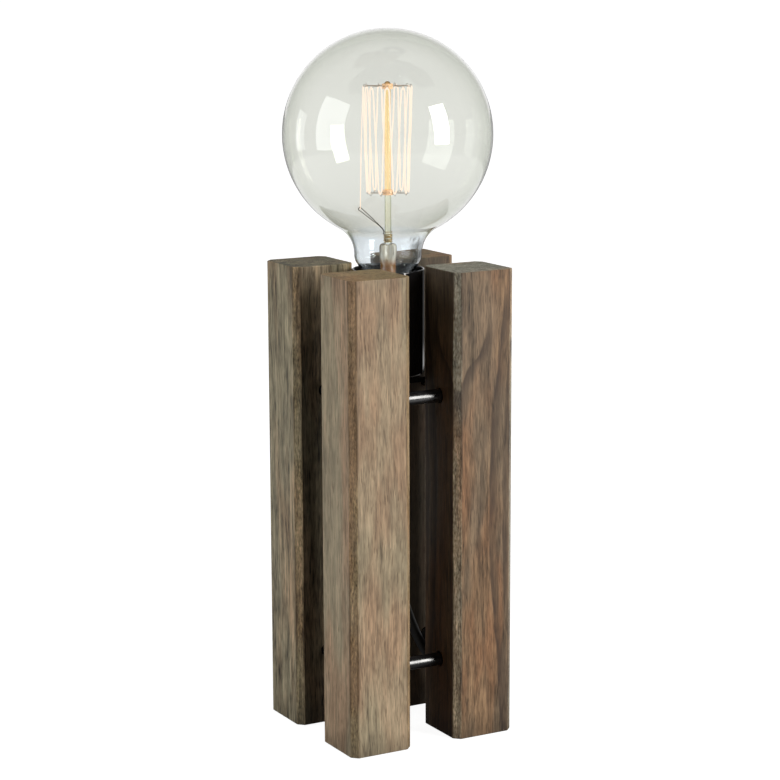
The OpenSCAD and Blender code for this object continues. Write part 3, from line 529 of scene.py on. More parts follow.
def add_rings(bm, rings, round_again=False):
    """Rings of points, each joined to the next; the ends are filled, or joined to each other."""
    made = [[bm.verts.new(point) for point in ring] for ring in rings]
    following = made[1:] + made[:1] if round_again else made[1:]
    for lower, upper in zip(made, following):
        size = max(len(lower), len(upper))
        for k in range(size):
            n = (k + 1) % size
            corners = dict.fromkeys((lower[k % len(lower)], lower[n % len(lower)],
                                     upper[n % len(upper)], upper[k % len(upper)]))
            if len(corners) > 2:
                bm.faces.new(list(corners))
    if not round_again:
        bm.faces.new(made[0])
        bm.faces.new(made[-1])


def from_rings(name, rings, round_again=False):
    """A closed piece from rings of points."""
    bm = bmesh.new()
    add_rings(bm, rings, round_again)
    return new_piece(name, bm)


def add_cylinder(bm, start, end, radius, segments):
    """A cylinder between two points."""
    along = end - start
    made = bmesh.ops.create_cone(bm, cap_ends=True, segments=segments, radius1=radius, radius2=radius,
                                 depth=along.length)
    turn = Vector((0, 0, 1)).rotation_difference(along.normalized()).to_matrix().to_4x4()
    bmesh.ops.transform(bm, matrix=Matrix.Translation((start + end) / 2) @ turn, verts=made["verts"])


def smooth_faces(piece, angle):
    """Smooth shading, with the edges sharper than an angle kept crisp."""
    piece.data.shade_smooth()
    piece.data.set_sharp_from_angle(angle=math.radians(angle))


def evaluated_mesh(piece):
    """The mesh that a piece shows, as a plain one."""
    bpy.context.view_layer.update()
    return bpy.data.meshes.new_from_object(piece.evaluated_get(bpy.context.evaluated_depsgraph_get()))


def baked(piece):
    """The piece as its modifiers leave it, with no modifiers."""
    old = piece.data
    piece.data = evaluated_mesh(piece)
    piece.modifiers.clear()
    bpy.data.meshes.remove(old)
    return piece


def cut_out(piece, cutter):
    """The piece without what the cutter fills."""
    cut = piece.modifiers.new("cut", "BOOLEAN")
    cut.object = cutter
    cut.solver = "EXACT"
    baked(piece)
    bpy.data.objects.remove(cutter)


def ease_edges(piece, width, segments, sharper_than, smooth_below, weight):
    """Edges sharper than an angle are eased, and the faces between them stay flat."""
    ease = piece.modifiers.new("eased", "BEVEL")
    ease.width = width
    ease.segments = segments
    ease.limit_method = "ANGLE"
    ease.angle_limit = math.radians(sharper_than)
    baked(piece)
    smooth_faces(piece, smooth_below)
    keep_flat = piece.modifiers.new("flat_faces", "WEIGHTED_NORMAL")
    keep_flat.keep_sharp = True
    keep_flat.weight = weight
    return baked(piece)


def chamfered_post(name, middle, half):
    """A square post with chamfered long edges, bored for the rods on its two inner faces."""
    near = half - post_chamfer
    outline = [(-near, -half), (near, -half), (half, -near), (half, near),
               (near, half), (-near, half), (-half, near), (-half, -near)]
    piece = from_rings(name, [[(middle.x + x, middle.y + y, z) for x, y in outline]
                              for z in (0, post_height)])
    bores = bmesh.new()
    for height in rod_heights:
        for inward in (Vector((-math.copysign(1, middle.x), 0, 0)),
                       Vector((0, -math.copysign(1, middle.y), 0))):
            mouth = Vector((middle.x, middle.y, height)) + inward * (half + bore_clearance)
            add_cylinder(bores, mouth, mouth - inward * (socket_depth + bore_clearance), socket_radius, 40)
    cut_out(piece, new_piece("socket_cutter", bores))
    return ease_edges(piece, arris, 3, 32, 50, 100)


wood_looks = {
    "post_front": {
        "Shift": 0.31, "Depth": 0.95, "X Face Light": 1.10, "Y Face Top Light": 0.88, "Y Face Foot Light": 1.03,
        "Pale": (0.49, 0.37, 0.243), "Warm": (0.455, 0.305, 0.193), "Grey": (0.39, 0.325, 0.215),
        "Dark": (0.125, 0.078, 0.044), "Grey Share": 0.8, "Edge Shade": (0.71, 0.64, 0.50),
        "End Shade": (0.92, 0.82, 0.60), "Inner Shade": 0.45},
    "post_right": {
        "Shift": 0.83, "Depth": 1.3, "Vein Depth": 1.0, "Pale": (0.305, 0.19, 0.107),
        "Warm": (0.28, 0.150, 0.079), "Grey": (0.198, 0.148, 0.098), "Dark": (0.052, 0.034, 0.026),
        "Grey Share": 0.8, "Edge Shade": (1.75, 2.3, 2.8), "End Shade": (1.4, 1.88, 2.35),
        "Inner Shade": 0.58},
    "post_left": {
        "Shift": 1.37, "Depth": 1.7, "Vein Depth": 0.3, "Vein Shift": 6 * mm,
        "Pale": (0.49, 0.375, 0.238), "Warm": (0.425, 0.295, 0.178), "Grey": (0.345, 0.30, 0.20),
        "Dark": (0.10, 0.07, 0.042), "Grey Share": 0.85, "Edge Shade": (0.78, 0.71, 0.58),
        "End Shade": (0.40, 0.445, 0.46), "Inner Shade": 0.5},
    "post_back": {
        "Shift": 2.19, "Depth": 0.85, "Vein Depth": 0.45, "Vein Shift": -7 * mm,
        "Pale": (0.43, 0.31, 0.2), "Warm": (0.38, 0.25, 0.155), "Grey": (0.31, 0.26, 0.18),
        "Dark": (0.10, 0.063, 0.038), "Grey Share": 0.7, "Edge Shade": (0.72, 0.68, 0.6),
        "End Shade": (0.7, 0.62, 0.5), "Inner Shade": 0.72},
}
even_face_light = {"X Face Light": 1.0, "Y Face Top Light": 1.0, "Y Face Foot Light": 1.0}
for name, looks in wood_looks.items():
    low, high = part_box(name)
    middle, half = (low + high) / 2, (high.x - low.x) / 2
    post_wood = wood_material(name + "_wood", {
        **even_face_light, **looks, "Centre": middle, "Half Width": half, "Chamfer": post_chamfer})
    put_in_place(chamfered_post(name + "_wood", middle, half), post_wood, "root", "wood", name)


# ---------------------------------------------------------------- Cross rods
# Eight black lacquered steel rods, 8 mm across, glued into blind sockets: one ring near
# the feet and one under the lampholder.
black_lacquer = handled_material("black_lacquer", (0.008, 0.008, 0.009), (0.014, 0.014, 0.015),
                                 (0.19, 0.28), (12, 0.5, 0.008), specular=1.0)
for name in [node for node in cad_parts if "_rod_" in node]:
    low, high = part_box(name)
    size = high - low
    reach = Vector((size.x / 2, 0, 0)) if size.x > size.y else Vector((0, size.y / 2, 0))
    middle = (low + high) / 2
    steel = bmesh.new()
    add_cylinder(steel, middle - reach, middle + reach, min(size.x, size.y) / 2, 64)
    rod = new_piece(name + "_lacquered", steel)
    smooth_faces(rod, 40)
    put_in_place(rod, black_lacquer, "root", "black_metal", name)


# ---------------------------------------------------------------- Lampholder mounting
# A flat black steel strip bridges two of the upper rods. A hollow threaded tube through
# it carries the cup and the lampholder, held by zinc plated lock nuts.
zinc = handled_material("zinc_plate", (0.56, 0.56, 0.58), (0.44, 0.44, 0.47), (0.28, 0.45),
                        (4, 0.3, 0.02), metallic=1.0)
moulded = handled_material("black_moulding", (0.013, 0.013, 0.014), (0.02, 0.02, 0.021), (0.34, 0.46),
                           (15, 0.4, 0.02))
finish_nodes(black_lacquer, "black_metal", "mounting_strip", "cup_spacer")
finish_nodes(zinc, "steel", "strip_screws", "threaded_tube", "strip_nut", "cup_nut")


# The cord grip hangs from the foot of the tube: a fluted collar over a tapering sleeve
# whose grooves let it bend with the lead.
def full_turn(steps):
    """The angles of a full turn, in so many steps."""
    return [2 * math.pi * k / steps for k in range(steps)]


grip_low, grip_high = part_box("cord_grip")
grip_radius = (grip_high.x - grip_low.x) / 2
grip_height = grip_high.z - grip_low.z
collar_height = 10 * mm
sleeve_height = grip_height - collar_height
sleeve_foot = 4.2 * mm
sleeve_head = grip_radius - 2 * mm
lead_hole = cord_width / 2 + 0.05 * mm
tube_hole = 5.05 * mm
hole_step = sleeve_height + 1 * mm
grooves = 7
groove_step = 3.2 * mm
flutes = 18
flute_depth = 0.55 * mm
grip_profile = [(lead_hole, 0.0, 0), (sleeve_foot - 0.4 * mm, 0.0, 0), (sleeve_foot, 0.4 * mm, 0)]
for groove in range(grooves):
    for step, depth in ((1.0, 0.0), (1.3, 0.75), (2.1, 0.75), (2.4, 0.0)):
        level = (0.6 + step) * mm + groove * groove_step
        radius = sleeve_foot + (sleeve_head - sleeve_foot) * level / sleeve_height
        grip_profile.append((radius - depth * mm, level, 0))
grip_profile += [
    (sleeve_head, sleeve_height - 0.2 * mm, 0), (grip_radius - 0.9 * mm, sleeve_height, 0.2),
    (grip_radius, sleeve_height + 0.9 * mm, 1), (grip_radius, grip_height - 1.2 * mm, 1),
    (grip_radius - 0.5 * mm, grip_height - 0.4 * mm, 0.5), (grip_radius - 1.2 * mm, grip_height, 0),
    (tube_hole, grip_height, 0), (tube_hole, hole_step, 0), (lead_hole, hole_step, 0)]
grip_rings = []
for radius, level, fluted in grip_profile:
    ring = []
    for a in full_turn(8 * flutes):
        out = radius - fluted * flute_depth * max(0.0, math.cos(flutes * a)) ** 2
        ring.append((out * math.cos(a), out * math.sin(a), grip_low.z + level))
    grip_rings.append(ring)
grip = from_rings("ribbed_cord_grip", grip_rings, round_again=True)
smooth_faces(grip, 40)
put_in_place(grip, moulded, "root", "black_plastic", "cord_grip")


# ---------------------------------------------------------------- Cup
# A deep drawn black steel cup with a rolled rim, gloss lacquered, that hides the
# lampholder. A lock nut on the threaded tube clamps its floor.
def arc(middle, radius, start, end, steps):
    """Points of an arc in a profile, from one angle to another."""
    angles = [math.radians(start + (end - start) * i / steps) for i in range(steps + 1)]
    return [(middle[0] + radius * math.cos(a), middle[1] + radius * math.sin(a)) for a in angles]


def turned(name, profile, segments):
    """A piece turned from a profile of radii and heights; a point on the axis is a pole."""
    return from_rings(name, [
        [(radius * math.cos(a), radius * math.sin(a), height) for a in full_turn(segments if radius else 1)]
        for radius, height in profile], round_again=True)


cup_lacquer = handled_material("cup_lacquer", (0.007, 0.007, 0.008), (0.012, 0.012, 0.013),
                               (0.07, 0.12), (12, 0.5, 0.004), specular=0.72)
cup_low, cup_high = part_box("holder_cup")
cup_radius = (cup_high.x - cup_low.x) / 2
cup_wall = 1.2 * mm
outer_round = 2 * mm
inner_round = 0.8 * mm
rim_radius = 0.6 * mm
cup_profile = (
    [(tube_hole, cup_low.z)]
    + arc((cup_radius - outer_round, cup_low.z + outer_round), outer_round, -90, 0, 10)
    + arc((cup_radius - rim_radius, cup_high.z - rim_radius), rim_radius, 0, 180, 10)
    + arc((cup_radius - cup_wall - inner_round, cup_low.z + cup_wall + inner_round), inner_round, 0, -90, 5)
    + [(tube_hole, cup_low.z + cup_wall)])
cup = turned("lampholder_cup", cup_profile, 128)
smooth_faces(cup, 50)
put_in_place(cup, cup_lacquer, "root", "black_metal", "holder_cup")


# ---------------------------------------------------------------- Lampholder
# Inside the cup: a black moulded base and sleeve, a ceramic insert with brass terminal
# screws and a sprung centre contact, and the threaded brass shell.
brass = handled_material("brass", (0.78, 0.52, 0.24), (0.6, 0.38, 0.18), (0.22, 0.4),
                         (5, 0.3, 0.01), metallic=1.0)
porcelain = handled_material("unglazed_porcelain", (0.8, 0.77, 0.7), (0.72, 0.69, 0.62), (0.55, 0.7),
                             (10, 0.4, 0.04))
finish_nodes(moulded, "black_plastic", "holder_base", "holder_sleeve")
finish_nodes(porcelain, "ceramic", "holder_insert")
finish_nodes(brass, "brass", "screw_shell", "centre_contact", "terminal_screws")
finish_nodes(sheath, "rubber", "holder_leads")


# ---------------------------------------------------------------- Bulb cap
# The bulb's drawn screw cap with its rolled thread, cemented to the neck, its black glass
# insulator and its soldered tip.
cap_metal = handled_material("cap_metal", (0.72, 0.5, 0.27), (0.55, 0.36, 0.2), (0.2, 0.36),
                             (5, 0.3, 0.01), metallic=1.0)
black_glass = handled_material("black_glass", (0.01, 0.01, 0.012), (0.02, 0.02, 0.022), (0.05, 0.15),
                               (10, 1, 0.005))
finish_nodes(cap_metal, "cap_metal", "screw_cap", "cap_tip")
finish_nodes(black_glass, "black_glass", "cap_insulator")


# ---------------------------------------------------------------- Bulb glass
# A blown globe 125 mm across in clear glass with a faint warm tint, drawn in through a
# flare to a short neck that is cemented into the cap.
def glass_material(name, colour, outline_tint_and_shade, edge=(0.3, 0.9), specular=0.34, bends=1.48, at_rim=1.0):
    """Clear glass, deeper in colour towards its outline, partly its own tint and partly painted shade for the
    darker surroundings seen at its edge; it lets light straight through to what it holds. Also gives its
    shader, its tint and how near a point is to the outline."""
    made, shader = new_material(name, colour, 0.0, specular=specular)
    shader.inputs["Transmission Weight"].default_value = 1.0
    shader.inputs["IOR"].default_value = bends
    tree = made.node_tree
    facing = from_node(tree, "ShaderNodeLayerWeight", {"Blend": 0.5}, "Facing")
    outline = ramp(facing, *edge) * ramp(facing, 0.74, 0.93, 1.0, at_rim)
    tint = mix_colours(outline, colour, outline_tint_and_shade)
    join(tint, shader.inputs["Base Color"])
    clear = from_node(tree, "ShaderNodeBsdfTransparent", {"Color": colour})
    shadow_ray = from_node(tree, "ShaderNodeLightPath", output="Is Shadow Ray")
    mixed = from_node(tree, "ShaderNodeMixShader", {0: shadow_ray, 1: Signal(shader.outputs[0]), 2: clear})
    join(mixed, tree.nodes["Material Output"].inputs["Surface"])
    return made, shader, tint, outline


def around(degrees):
    """The level direction at an angle about the lamp's axis."""
    return Vector((math.cos(math.radians(degrees)), math.sin(math.radians(degrees)), 0))


glass_low, glass_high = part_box("bulb_glass")
globe_radius = (glass_high.x - glass_low.x) / 2
globe_z = glass_high.z - globe_radius
glass_wall = 0.75 * mm
neck_radius = 20.3 * mm
flare_radius = 18 * mm
flare_z = globe_z - math.sqrt((globe_radius + flare_radius) ** 2 - (neck_radius + flare_radius) ** 2)
flare_end = math.degrees(math.acos((neck_radius + flare_radius) / (globe_radius + flare_radius)))
shoulder_radius = 10 * mm
shoulder_angle = 48
shoulder_z = flare_z - 0.5 * mm
foot_radius = 11.2 * mm
foot_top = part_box("screw_cap")[1].z + 0.5 * mm


def bulb_outline(inset):
    """The bulb's outline from its foot in the cap to its crown, so far inside its outer face."""
    return (
        [(foot_radius - inset, glass_low.z), (foot_radius - inset, foot_top)]
        + arc((neck_radius - shoulder_radius, shoulder_z), shoulder_radius - inset, -shoulder_angle, 0, 16)
        + arc((neck_radius + flare_radius, flare_z), flare_radius + inset, 180, 180 - flare_end, 24)[:-1]
        + arc((0, globe_z), globe_radius - inset, -flare_end, 90, 72)[:-1]
        + [(0, globe_z + globe_radius - inset)])


globe_glass, globe_shader, globe_tint, _ = glass_material(
    "globe_glass", (0.908, 0.915, 0.880), (0.788, 0.805, 0.750), edge=(0.35, 0.72), at_rim=0.2)
globe_tree = globe_glass.node_tree
globe_place = place_on(globe_tree)
globe_height = height_on(globe_tree)
globe_facing = from_node(globe_tree, "ShaderNodeLayerWeight", {"Blend": 0.5}, "Facing")
# The neck is thicker glass: bluish as a painted reflection of the left soft box, dark along its outline
# partly from its thickness and partly as painted shade, with a green edge where it flares
neck_top = (301.5 * mm, 304.5 * mm)
flare_band = ((298.5 * mm, 301.5 * mm), (303.5 * mm, 308 * mm))
neck_tint_and_painted_reflection = mix_colours(ramp(globe_facing, 0.56, 0.9), (0.90, 0.935, 0.955), (0.26, 0.29, 0.31))
globe_tint = mix_colours(ramp(globe_height, *neck_top, 1.0, 0.0), globe_tint, neck_tint_and_painted_reflection)
# A painted reflection of the dark post beside it darkens one side of the neck
beside = vector_maths("DOT_PRODUCT", globe_place, around(camera_azimuth))
painted_post_reflection = ramp(noise(globe_place, (150, 150, 60), shift=0.4), 0.36, 0.5)
painted_post_reflection = painted_post_reflection * ramp(beside, 12 * mm, 15.5 * mm)
painted_post_reflection = painted_post_reflection * ramp(globe_height, 297 * mm, 300 * mm, 0.75, 0.0)
globe_tint = mix_colours(painted_post_reflection, globe_tint, (0.30, 0.31, 0.31))
green_edge = band(globe_height, *flare_band) * ramp(globe_facing, 0.62, 0.9, 0.0, 0.85)
globe_tint = mix_colours(green_edge, globe_tint, (0.33, 0.38, 0.20))
join(globe_tint, globe_shader.inputs["Base Color"])
globe = turned("bulb_globe", bulb_outline(0) + bulb_outline(glass_wall)[::-1], 128)
smooth_faces(globe, 60)
put_in_place(globe, globe_glass, "bulb", "glass", "bulb_glass")


# ---------------------------------------------------------------- Stem
# Inside the neck: the flared stem tube pinched flat round the lead wires, the exhaust
# tube below it and the solid glass rod that carries the filament.
near_cap = (281.5 * mm, 286.5 * mm)
stem_glass, stem_shader, stem_tint, _ = glass_material(
    "stem_glass", (0.97, 0.94, 0.90), (0.42, 0.37, 0.32), edge=(0.6, 0.97), specular=0.5, bends=1.2)
# Painted light: near the cap the stem glass is tinted orange by the brass cap below it
painted_brass_light = ramp(height_on(stem_glass.node_tree), *near_cap, 1.0, 0.0)
join(mix_colours(painted_brass_light, stem_tint, (0.80, 0.47, 0.27)), stem_shader.inputs["Base Color"])
finish_nodes(stem_glass, "glass", "exhaust_tube")

# The part of the rod inside the filament's cage has the filament's light painted on: a warm tint and a faint
# painted glow
cage_foot = (326.5 * mm, 328.5 * mm)
cage_top = (388 * mm, 388.6 * mm)
rod_glass, rod_shader, rod_tint, rod_outline = glass_material(
    "rod_glass", (0.95, 0.94, 0.78), (0.14, 0.17, 0.09), edge=(0.12, 0.62))
painted_glow_span = band(height_on(rod_glass.node_tree), cage_foot, cage_top)
caged_painted_glow = mix_colours(rod_outline, (0.93, 0.74, 0.42), (0.90, 0.62, 0.38))
join(mix_colours(painted_glow_span, rod_tint, caged_painted_glow), rod_shader.inputs["Base Color"])
join(mix_colours(rod_outline, (1.0, 0.70, 0.28), (1.0, 0.52, 0.26)), rod_shader.inputs["Emission Color"])
join(painted_glow_span * 0.1, rod_shader.inputs["Emission Strength"])
finish_nodes(rod_glass, "glass", "glass_rod")

# The press is cloudier glass, streaked by the wires sealed in it, with painted orange light from the brass
# cap at its foot
press_foot = (283.5 * mm, 288.5 * mm)
press_glass, press_shader, press_tint, _ = glass_material(
    "press_glass", (0.66, 0.62, 0.54), (0.10, 0.072, 0.045), edge=(0.3, 0.74), specular=0.8)
press_shader.inputs["Transmission Weight"].default_value = 0.35
press_shader.inputs["Roughness"].default_value = 0.1
pinched = ramp(noise(place_on(press_glass.node_tree), (420, 420, 60), shift=2.2), 0.47, 0.62, 0.0, 0.7)
press_tint = mix_colours(pinched, press_tint, (0.13, 0.105, 0.075))
painted_cap_light_on_press = ramp(height_on(press_glass.node_tree), *press_foot, 1.0, 0.0)
join(mix_colours(painted_cap_light_on_press, press_tint, (0.34, 0.17, 0.07)), press_shader.inputs["Base Color"])

stem_low, stem_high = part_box("bulb_stem")
press_half = 5.25 * mm
tube_radius = 4.7 * mm
tube_wall = 1.2 * mm
tube_top = stem_high.z - 13 * mm
flare_foot = (stem_high.x - stem_low.x) / 2
waist_half = 0.32 * press_half
notch_half = 0.3 * press_half
notch_depth = 1.7 * mm


def stem_ring(height, wide, deep, waist):
    """One level of the stem: an oval, drawn in at its waist where the press has two lobes."""
    ring = []
    for a in full_turn(48):
        across = wide * math.cos(a)
        out = deep * math.sin(a) * (1 - waist * math.exp(-(across / waist_half) ** 2))
        drop = notch_depth * waist * math.exp(-(across / notch_half) ** 2)
        ring.append(across * around(camera_azimuth) + out * around(camera_azimuth + 90)
                    + Vector((0, 0, height - drop)))
    return ring


tube_levels = [(stem_low.z + up * mm, radius, radius, 0.0) for up, radius in (
    (0, flare_foot), (1, flare_foot - 0.5 * mm), (6, tube_radius))]
press_levels = [(stem_high.z - down * mm, wide, deep * mm, waist) for down, wide, deep, waist in (
    (13, tube_radius, 4.7, 0.0), (10.5, tube_radius + 0.2 * mm, 4.3, 0.05), (8, press_half, 3.4, 0.4),
    (5, press_half, 2.9, 0.64), (2.6, press_half, 2.8, 0.64), (1.2, 0.94 * press_half, 2.5, 0.6),
    (0.4, 0.82 * press_half, 1.9, 0.55), (0, 0.62 * press_half, 1.1, 0.45))]
stem = from_rings("stem_press", [stem_ring(*level) for level in tube_levels + press_levels])
hollow = bmesh.new()
add_cylinder(hollow, Vector((0, 0, stem_low.z - 2 * mm)), Vector((0, 0, tube_top)),
             tube_radius - tube_wall, 48)
cut_out(stem, new_piece("stem_hollow", hollow))
smooth_faces(stem, 50)
put_in_place(stem, press_glass, "bulb", "glass", "bulb_stem")


# ---------------------------------------------------------------- Filament
# One carbon wire zigzags up and down between two rings of wire hooks, nine above and
# nine below, that stand out from buttons on the glass rod. It glows faintly.
strands = 18
filament_top = 389.7 * mm
filament_foot = 327 * mm
top_radius = 14.5 * mm
bottom_radius = 12.5 * mm
hook_thickness = 0.32 * mm
glow, glow_shader = new_material("glowing_carbon", (0.06, 0.05, 0.04), 0.6, specular=0.2)
glow_shader.inputs["Emission Strength"].default_value = 1.2
join(mix_colours(ramp(height_on(glow.node_tree), 325 * mm, 392 * mm), (1.0, 0.80, 0.66), (1.0, 0.82, 0.70)),
     glow_shader.inputs["Emission Color"])
button = handled_material("button_painted_glow", (0.78, 0.50, 0.30), (0.62, 0.36, 0.2), (0.25, 0.4),
                          (2, 0.3, 0.01))
button_shader = button.node_tree.nodes["Principled BSDF"]
# Painted glow: the buttons give off a faint orange light of their own, standing in for the filament's light
# on them
join((1.0, 0.62, 0.34), button_shader.inputs["Emission Color"])
join(0.2, button_shader.inputs["Emission Strength"])
hook_wire = handled_material("hook_wire", (0.26, 0.21, 0.17), (0.40, 0.33, 0.27), (0.35, 0.5),
                             (2, 0.2, 0.01), metallic=0.6)
dark_wire = handled_material("dark_lead_wire", (0.02, 0.017, 0.014), (0.06, 0.05, 0.04), (0.45, 0.6),
                             (2, 0.2, 0.01))
wound_wire = handled_material("wound_wire", (0.33, 0.24, 0.11), (0.5, 0.36, 0.17), (0.3, 0.45),
                              (1.5, 0.2, 0.01), metallic=0.5)


def wire(name, line, width):
    """A round wire along a line, as a plain mesh."""
    curve = round_lead(name + "_line", line, width, facets=2)
    bm = bmesh.new()
    bm.from_mesh(evaluated_mesh(curve))
    bpy.data.objects.remove(curve)
    piece = new_piece(name, bm)
    smooth_faces(piece, 60)
    return piece


def end_tree(geometry, given, out):
    """Real smooth geometry with its material, as what the group makes."""
    real = from_node(geometry.tree, "GeometryNodeRealizeInstances", {"Geometry": geometry})
    smooth = from_node(geometry.tree, "GeometryNodeSetShadeSmooth", {"Geometry": real})
    tinted = from_node(geometry.tree, "GeometryNodeSetMaterial", {
        "Geometry": smooth, "Material": given["Material"]})
    join(tinted, out["Made"])


def made_by(piece, tree, values):
    """The piece as the group makes it from the values, as a plain mesh."""
    live = piece.modifiers.new(tree.name, "NODES")
    live.node_group = tree
    for socket in tree.interface.items_tree:
        if socket.in_out == "INPUT" and socket.name in values:
            live[socket.identifier] = values[socket.name]
    return baked(piece)


def zigzag_tree():
    """One wire that runs up and down between two rings of hooks, and turns tightly at each."""
    tree, given, out = new_group("zigzag_wire", "GeometryNodeTree", {
        "Geometry": ["Geometry"], "Int": ["Strands", "Steps"],
        "Float": ["Top Radius", "Foot Radius", "Top Height", "Foot Height", "Wire Radius", "Sway", "Seed"],
        "Material": ["Material"]}, {"Geometry": ["Made"]})
    points = from_node(tree, "GeometryNodeMeshLine", {"Count": given["Strands"] * given["Steps"] + 1.0})
    along = from_node(tree, "GeometryNodeInputIndex") / given["Steps"]
    hook = maths("ROUND", along)
    past_hook = along - hook
    from_hook = maths("ABSOLUTE", past_hook)
    spread = ramp(from_hook, 0.0, 0.045, 0.0, 0.22) + from_hook * 0.56
    spread = spread * maths("SIGN", past_hook)
    from_hook = from_hook * 2.0
    fall = maths("SQRT", from_hook * from_hook + 0.0002) * 0.5
    height = mix_levels(maths("MODULO", hook, 2.0), 1.0 - fall, fall)
    # Each strand wanders a little, most at half its height
    strand = maths("FLOOR", along)
    wander = noise(vector_of(strand * 7.31, height * 1.6, given["Seed"]), (1, 1, 1), 1.0, output="Color")
    sway = height * (1.0 - height) * 8.0 * given["Sway"]
    out_by, round_by, _ = [(side - 0.5) * sway for side in parts(wander)]
    radius = mix_levels(height, given["Foot Radius"], given["Top Radius"]) + out_by
    angle = (hook + spread) * (2 * math.pi) / given["Strands"] + round_by / radius
    level = height * (given["Top Height"] - given["Foot Height"]) + given["Foot Height"]
    at = vector_of(radius * maths("COSINE", angle), radius * maths("SINE", angle), level)
    moved = from_node(tree, "GeometryNodeSetPosition", {"Geometry": points, "Position": at})
    curve = from_node(tree, "GeometryNodeMeshToCurve", {0: moved})
    section = from_node(tree, "GeometryNodeCurvePrimitiveCircle", {
        "Resolution": 6, "Radius": given["Wire Radius"]})
    swept = from_node(tree, "GeometryNodeCurveToMesh", {0: curve, 1: section, "Fill Caps": True})
    end_tree(swept, given, out)
    return tree


def ring_tree():
    """The piece it is given, repeated in a ring about the bulb's axis, each turned a little off."""
    tree, given, out = new_group("ring_of_pieces", "GeometryNodeTree", {
        "Geometry": ["Geometry"], "Int": ["Count", "Seed"], "Float": ["Turn", "Unevenness"],
        "Material": ["Material"]}, {"Geometry": ["Made"]})
    spots = from_node(tree, "GeometryNodeMeshLine", {"Count": given["Count"], "Offset": (0, 0, 0)})
    uneven = from_node(tree, "FunctionNodeRandomValue", {2: -1.0, 3: 1.0, "Seed": given["Seed"]}, 1,
                       data_type="FLOAT")
    turn = from_node(tree, "GeometryNodeInputIndex") * (2 * math.pi / given["Count"]) + given["Turn"]
    ring = from_node(tree, "GeometryNodeInstanceOnPoints", {
        "Points": spots, "Instance": given["Geometry"],
        "Rotation": vector_of(0.0, 0.0, uneven * given["Unevenness"] + turn)})
    end_tree(ring, given, out)
    return tree


filament = made_by(new_piece("filament_wire", bmesh.new()), zigzag_tree(), {
    "Strands": strands, "Steps": 60, "Top Radius": top_radius, "Foot Radius": bottom_radius,
    "Top Height": filament_top + 0.5 * mm, "Foot Height": filament_foot - 0.5 * mm,
    "Wire Radius": 0.46 * mm, "Sway": 0.9 * mm, "Seed": 4.0, "Material": glow})

# The wire's end runs down past the lower hooks to the loop of the lead wires
lead_way = around(151)
lead_side = around(151 + 90)
loop_at = lead_way * 16.45 * mm + Vector((0, 0, 317 * mm))
end_hook = around(160) * top_radius + Vector((0, 0, filament_top))
end_line = [end_hook, end_hook.lerp(loop_at, 0.45) + lead_way * 0.3 * mm, loop_at]
end_strand = wire("filament_end", smooth_line(end_line, 10), 0.62 * mm)
both_parts = bmesh.new()
both_parts.from_mesh(filament.data)
both_parts.from_mesh(end_strand.data)
both_parts.to_mesh(filament.data)
both_parts.free()
bpy.data.objects.remove(end_strand)
filament.data.shade_smooth()
put_in_place(filament, glow, "bulb", "filament", "filament")

# Each hook is a shank that rises a little to a round eye
rings = ring_tree()
shank_root = 2.9 * mm
eye_radius = 0.6 * mm
eye_offset = 0.55 * mm
eye_lean = 0.12 * mm
for node, height, reach, lift, turn in (("top_hooks", filament_top, top_radius, 1, 0.0),
                                        ("bottom_hooks", filament_foot, bottom_radius, -1, math.pi / 9)):
    shank = [Vector((shank_root, 0, height))]
    for share, rise in ((0.45, 0.25), (0.7, 0.2), (0.9, 0.05)):
        shank.append(Vector((share * reach, 0, height + lift * rise * mm)))
    eye = []
    for k in range(9):
        a = math.radians(40 * k - 100)
        out = reach - eye_offset + eye_radius * math.cos(a)
        rise = eye_offset + eye_radius * math.sin(a)
        eye.append(Vector((out, eye_lean * k, height + lift * rise)))
    hook = wire(node + "_wire", smooth_line(shank, 4) + eye, hook_thickness)
    hooks = made_by(hook, rings, {
        "Count": strands // 2, "Turn": turn, "Unevenness": 0.035, "Seed": 3, "Material": hook_wire})
    smooth_faces(hooks, 60)
    put_in_place(hooks, hook_wire, "bulb", "support_wire", node)
finish_nodes(button, "copper", "top_hub", "bottom_hub")

# The two lead wires come out of the press together, twist round each other and end in a loop
twist_end = 0.62
run = smooth_line([lead_way * 2.3 * mm + Vector((0, 0, 303.6 * mm)),
                   lead_way * 4.2 * mm + Vector((0, 0, 306.2 * mm)),
                   lead_way * 9 * mm + Vector((0, 0, 310.6 * mm)), loop_at], 14)
pair = []
for side in (1, -1):
    line = []
    for k, at in enumerate(run):
        share = k / (len(run) - 1)
        twist = math.radians(900) * min(share, twist_end) / twist_end
        open_by = (0.26 + 0.84 * max(0, share - 0.45) / 0.55) * mm
        line.append(at + side * open_by * (math.cos(twist) * Vector((0, 0, 1)) + math.sin(twist) * lead_side))
    pair.append(line)
loop_radius = (pair[0][-1] - pair[1][-1]).length / 2
closing = [loop_at + lead_way * loop_radius * math.sin(a) + (pair[0][-1] - loop_at) * math.cos(a)
           for a in (math.pi * i / 8 for i in range(1, 8))]
lead_wires = wire("lead_wire_loop", pair[0] + closing + pair[1][::-1], 0.5 * mm)
put_in_place(lead_wires, dark_wire, "bulb", "support_wire", "lead_wires")

# Where they leave the press the wires are wound round the glass rod
rod_radius = 1.95 * mm
crimp_low, crimp_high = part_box("lead_crimp")
crimp_margin = 0.4 * mm
turns_wound = 7
steps_wound = turns_wound * 20
wound = []
for k in range(steps_wound + 1):
    share = k / steps_wound
    a = 2 * math.pi * turns_wound * share
    out = rod_radius + (0.42 + 0.16 * math.sin(2.3 * a)) * mm
    climb = crimp_margin + share * (crimp_high.z - crimp_low.z - 2 * crimp_margin)
    wound.append(Vector((out * math.cos(a), out * math.sin(a),
                         crimp_low.z + climb + 0.25 * mm * math.sin(1.7 * a))))
put_in_place(wire("wound_leads", wound, 0.62 * mm), wound_wire, "bulb", "copper", "lead_crimp")


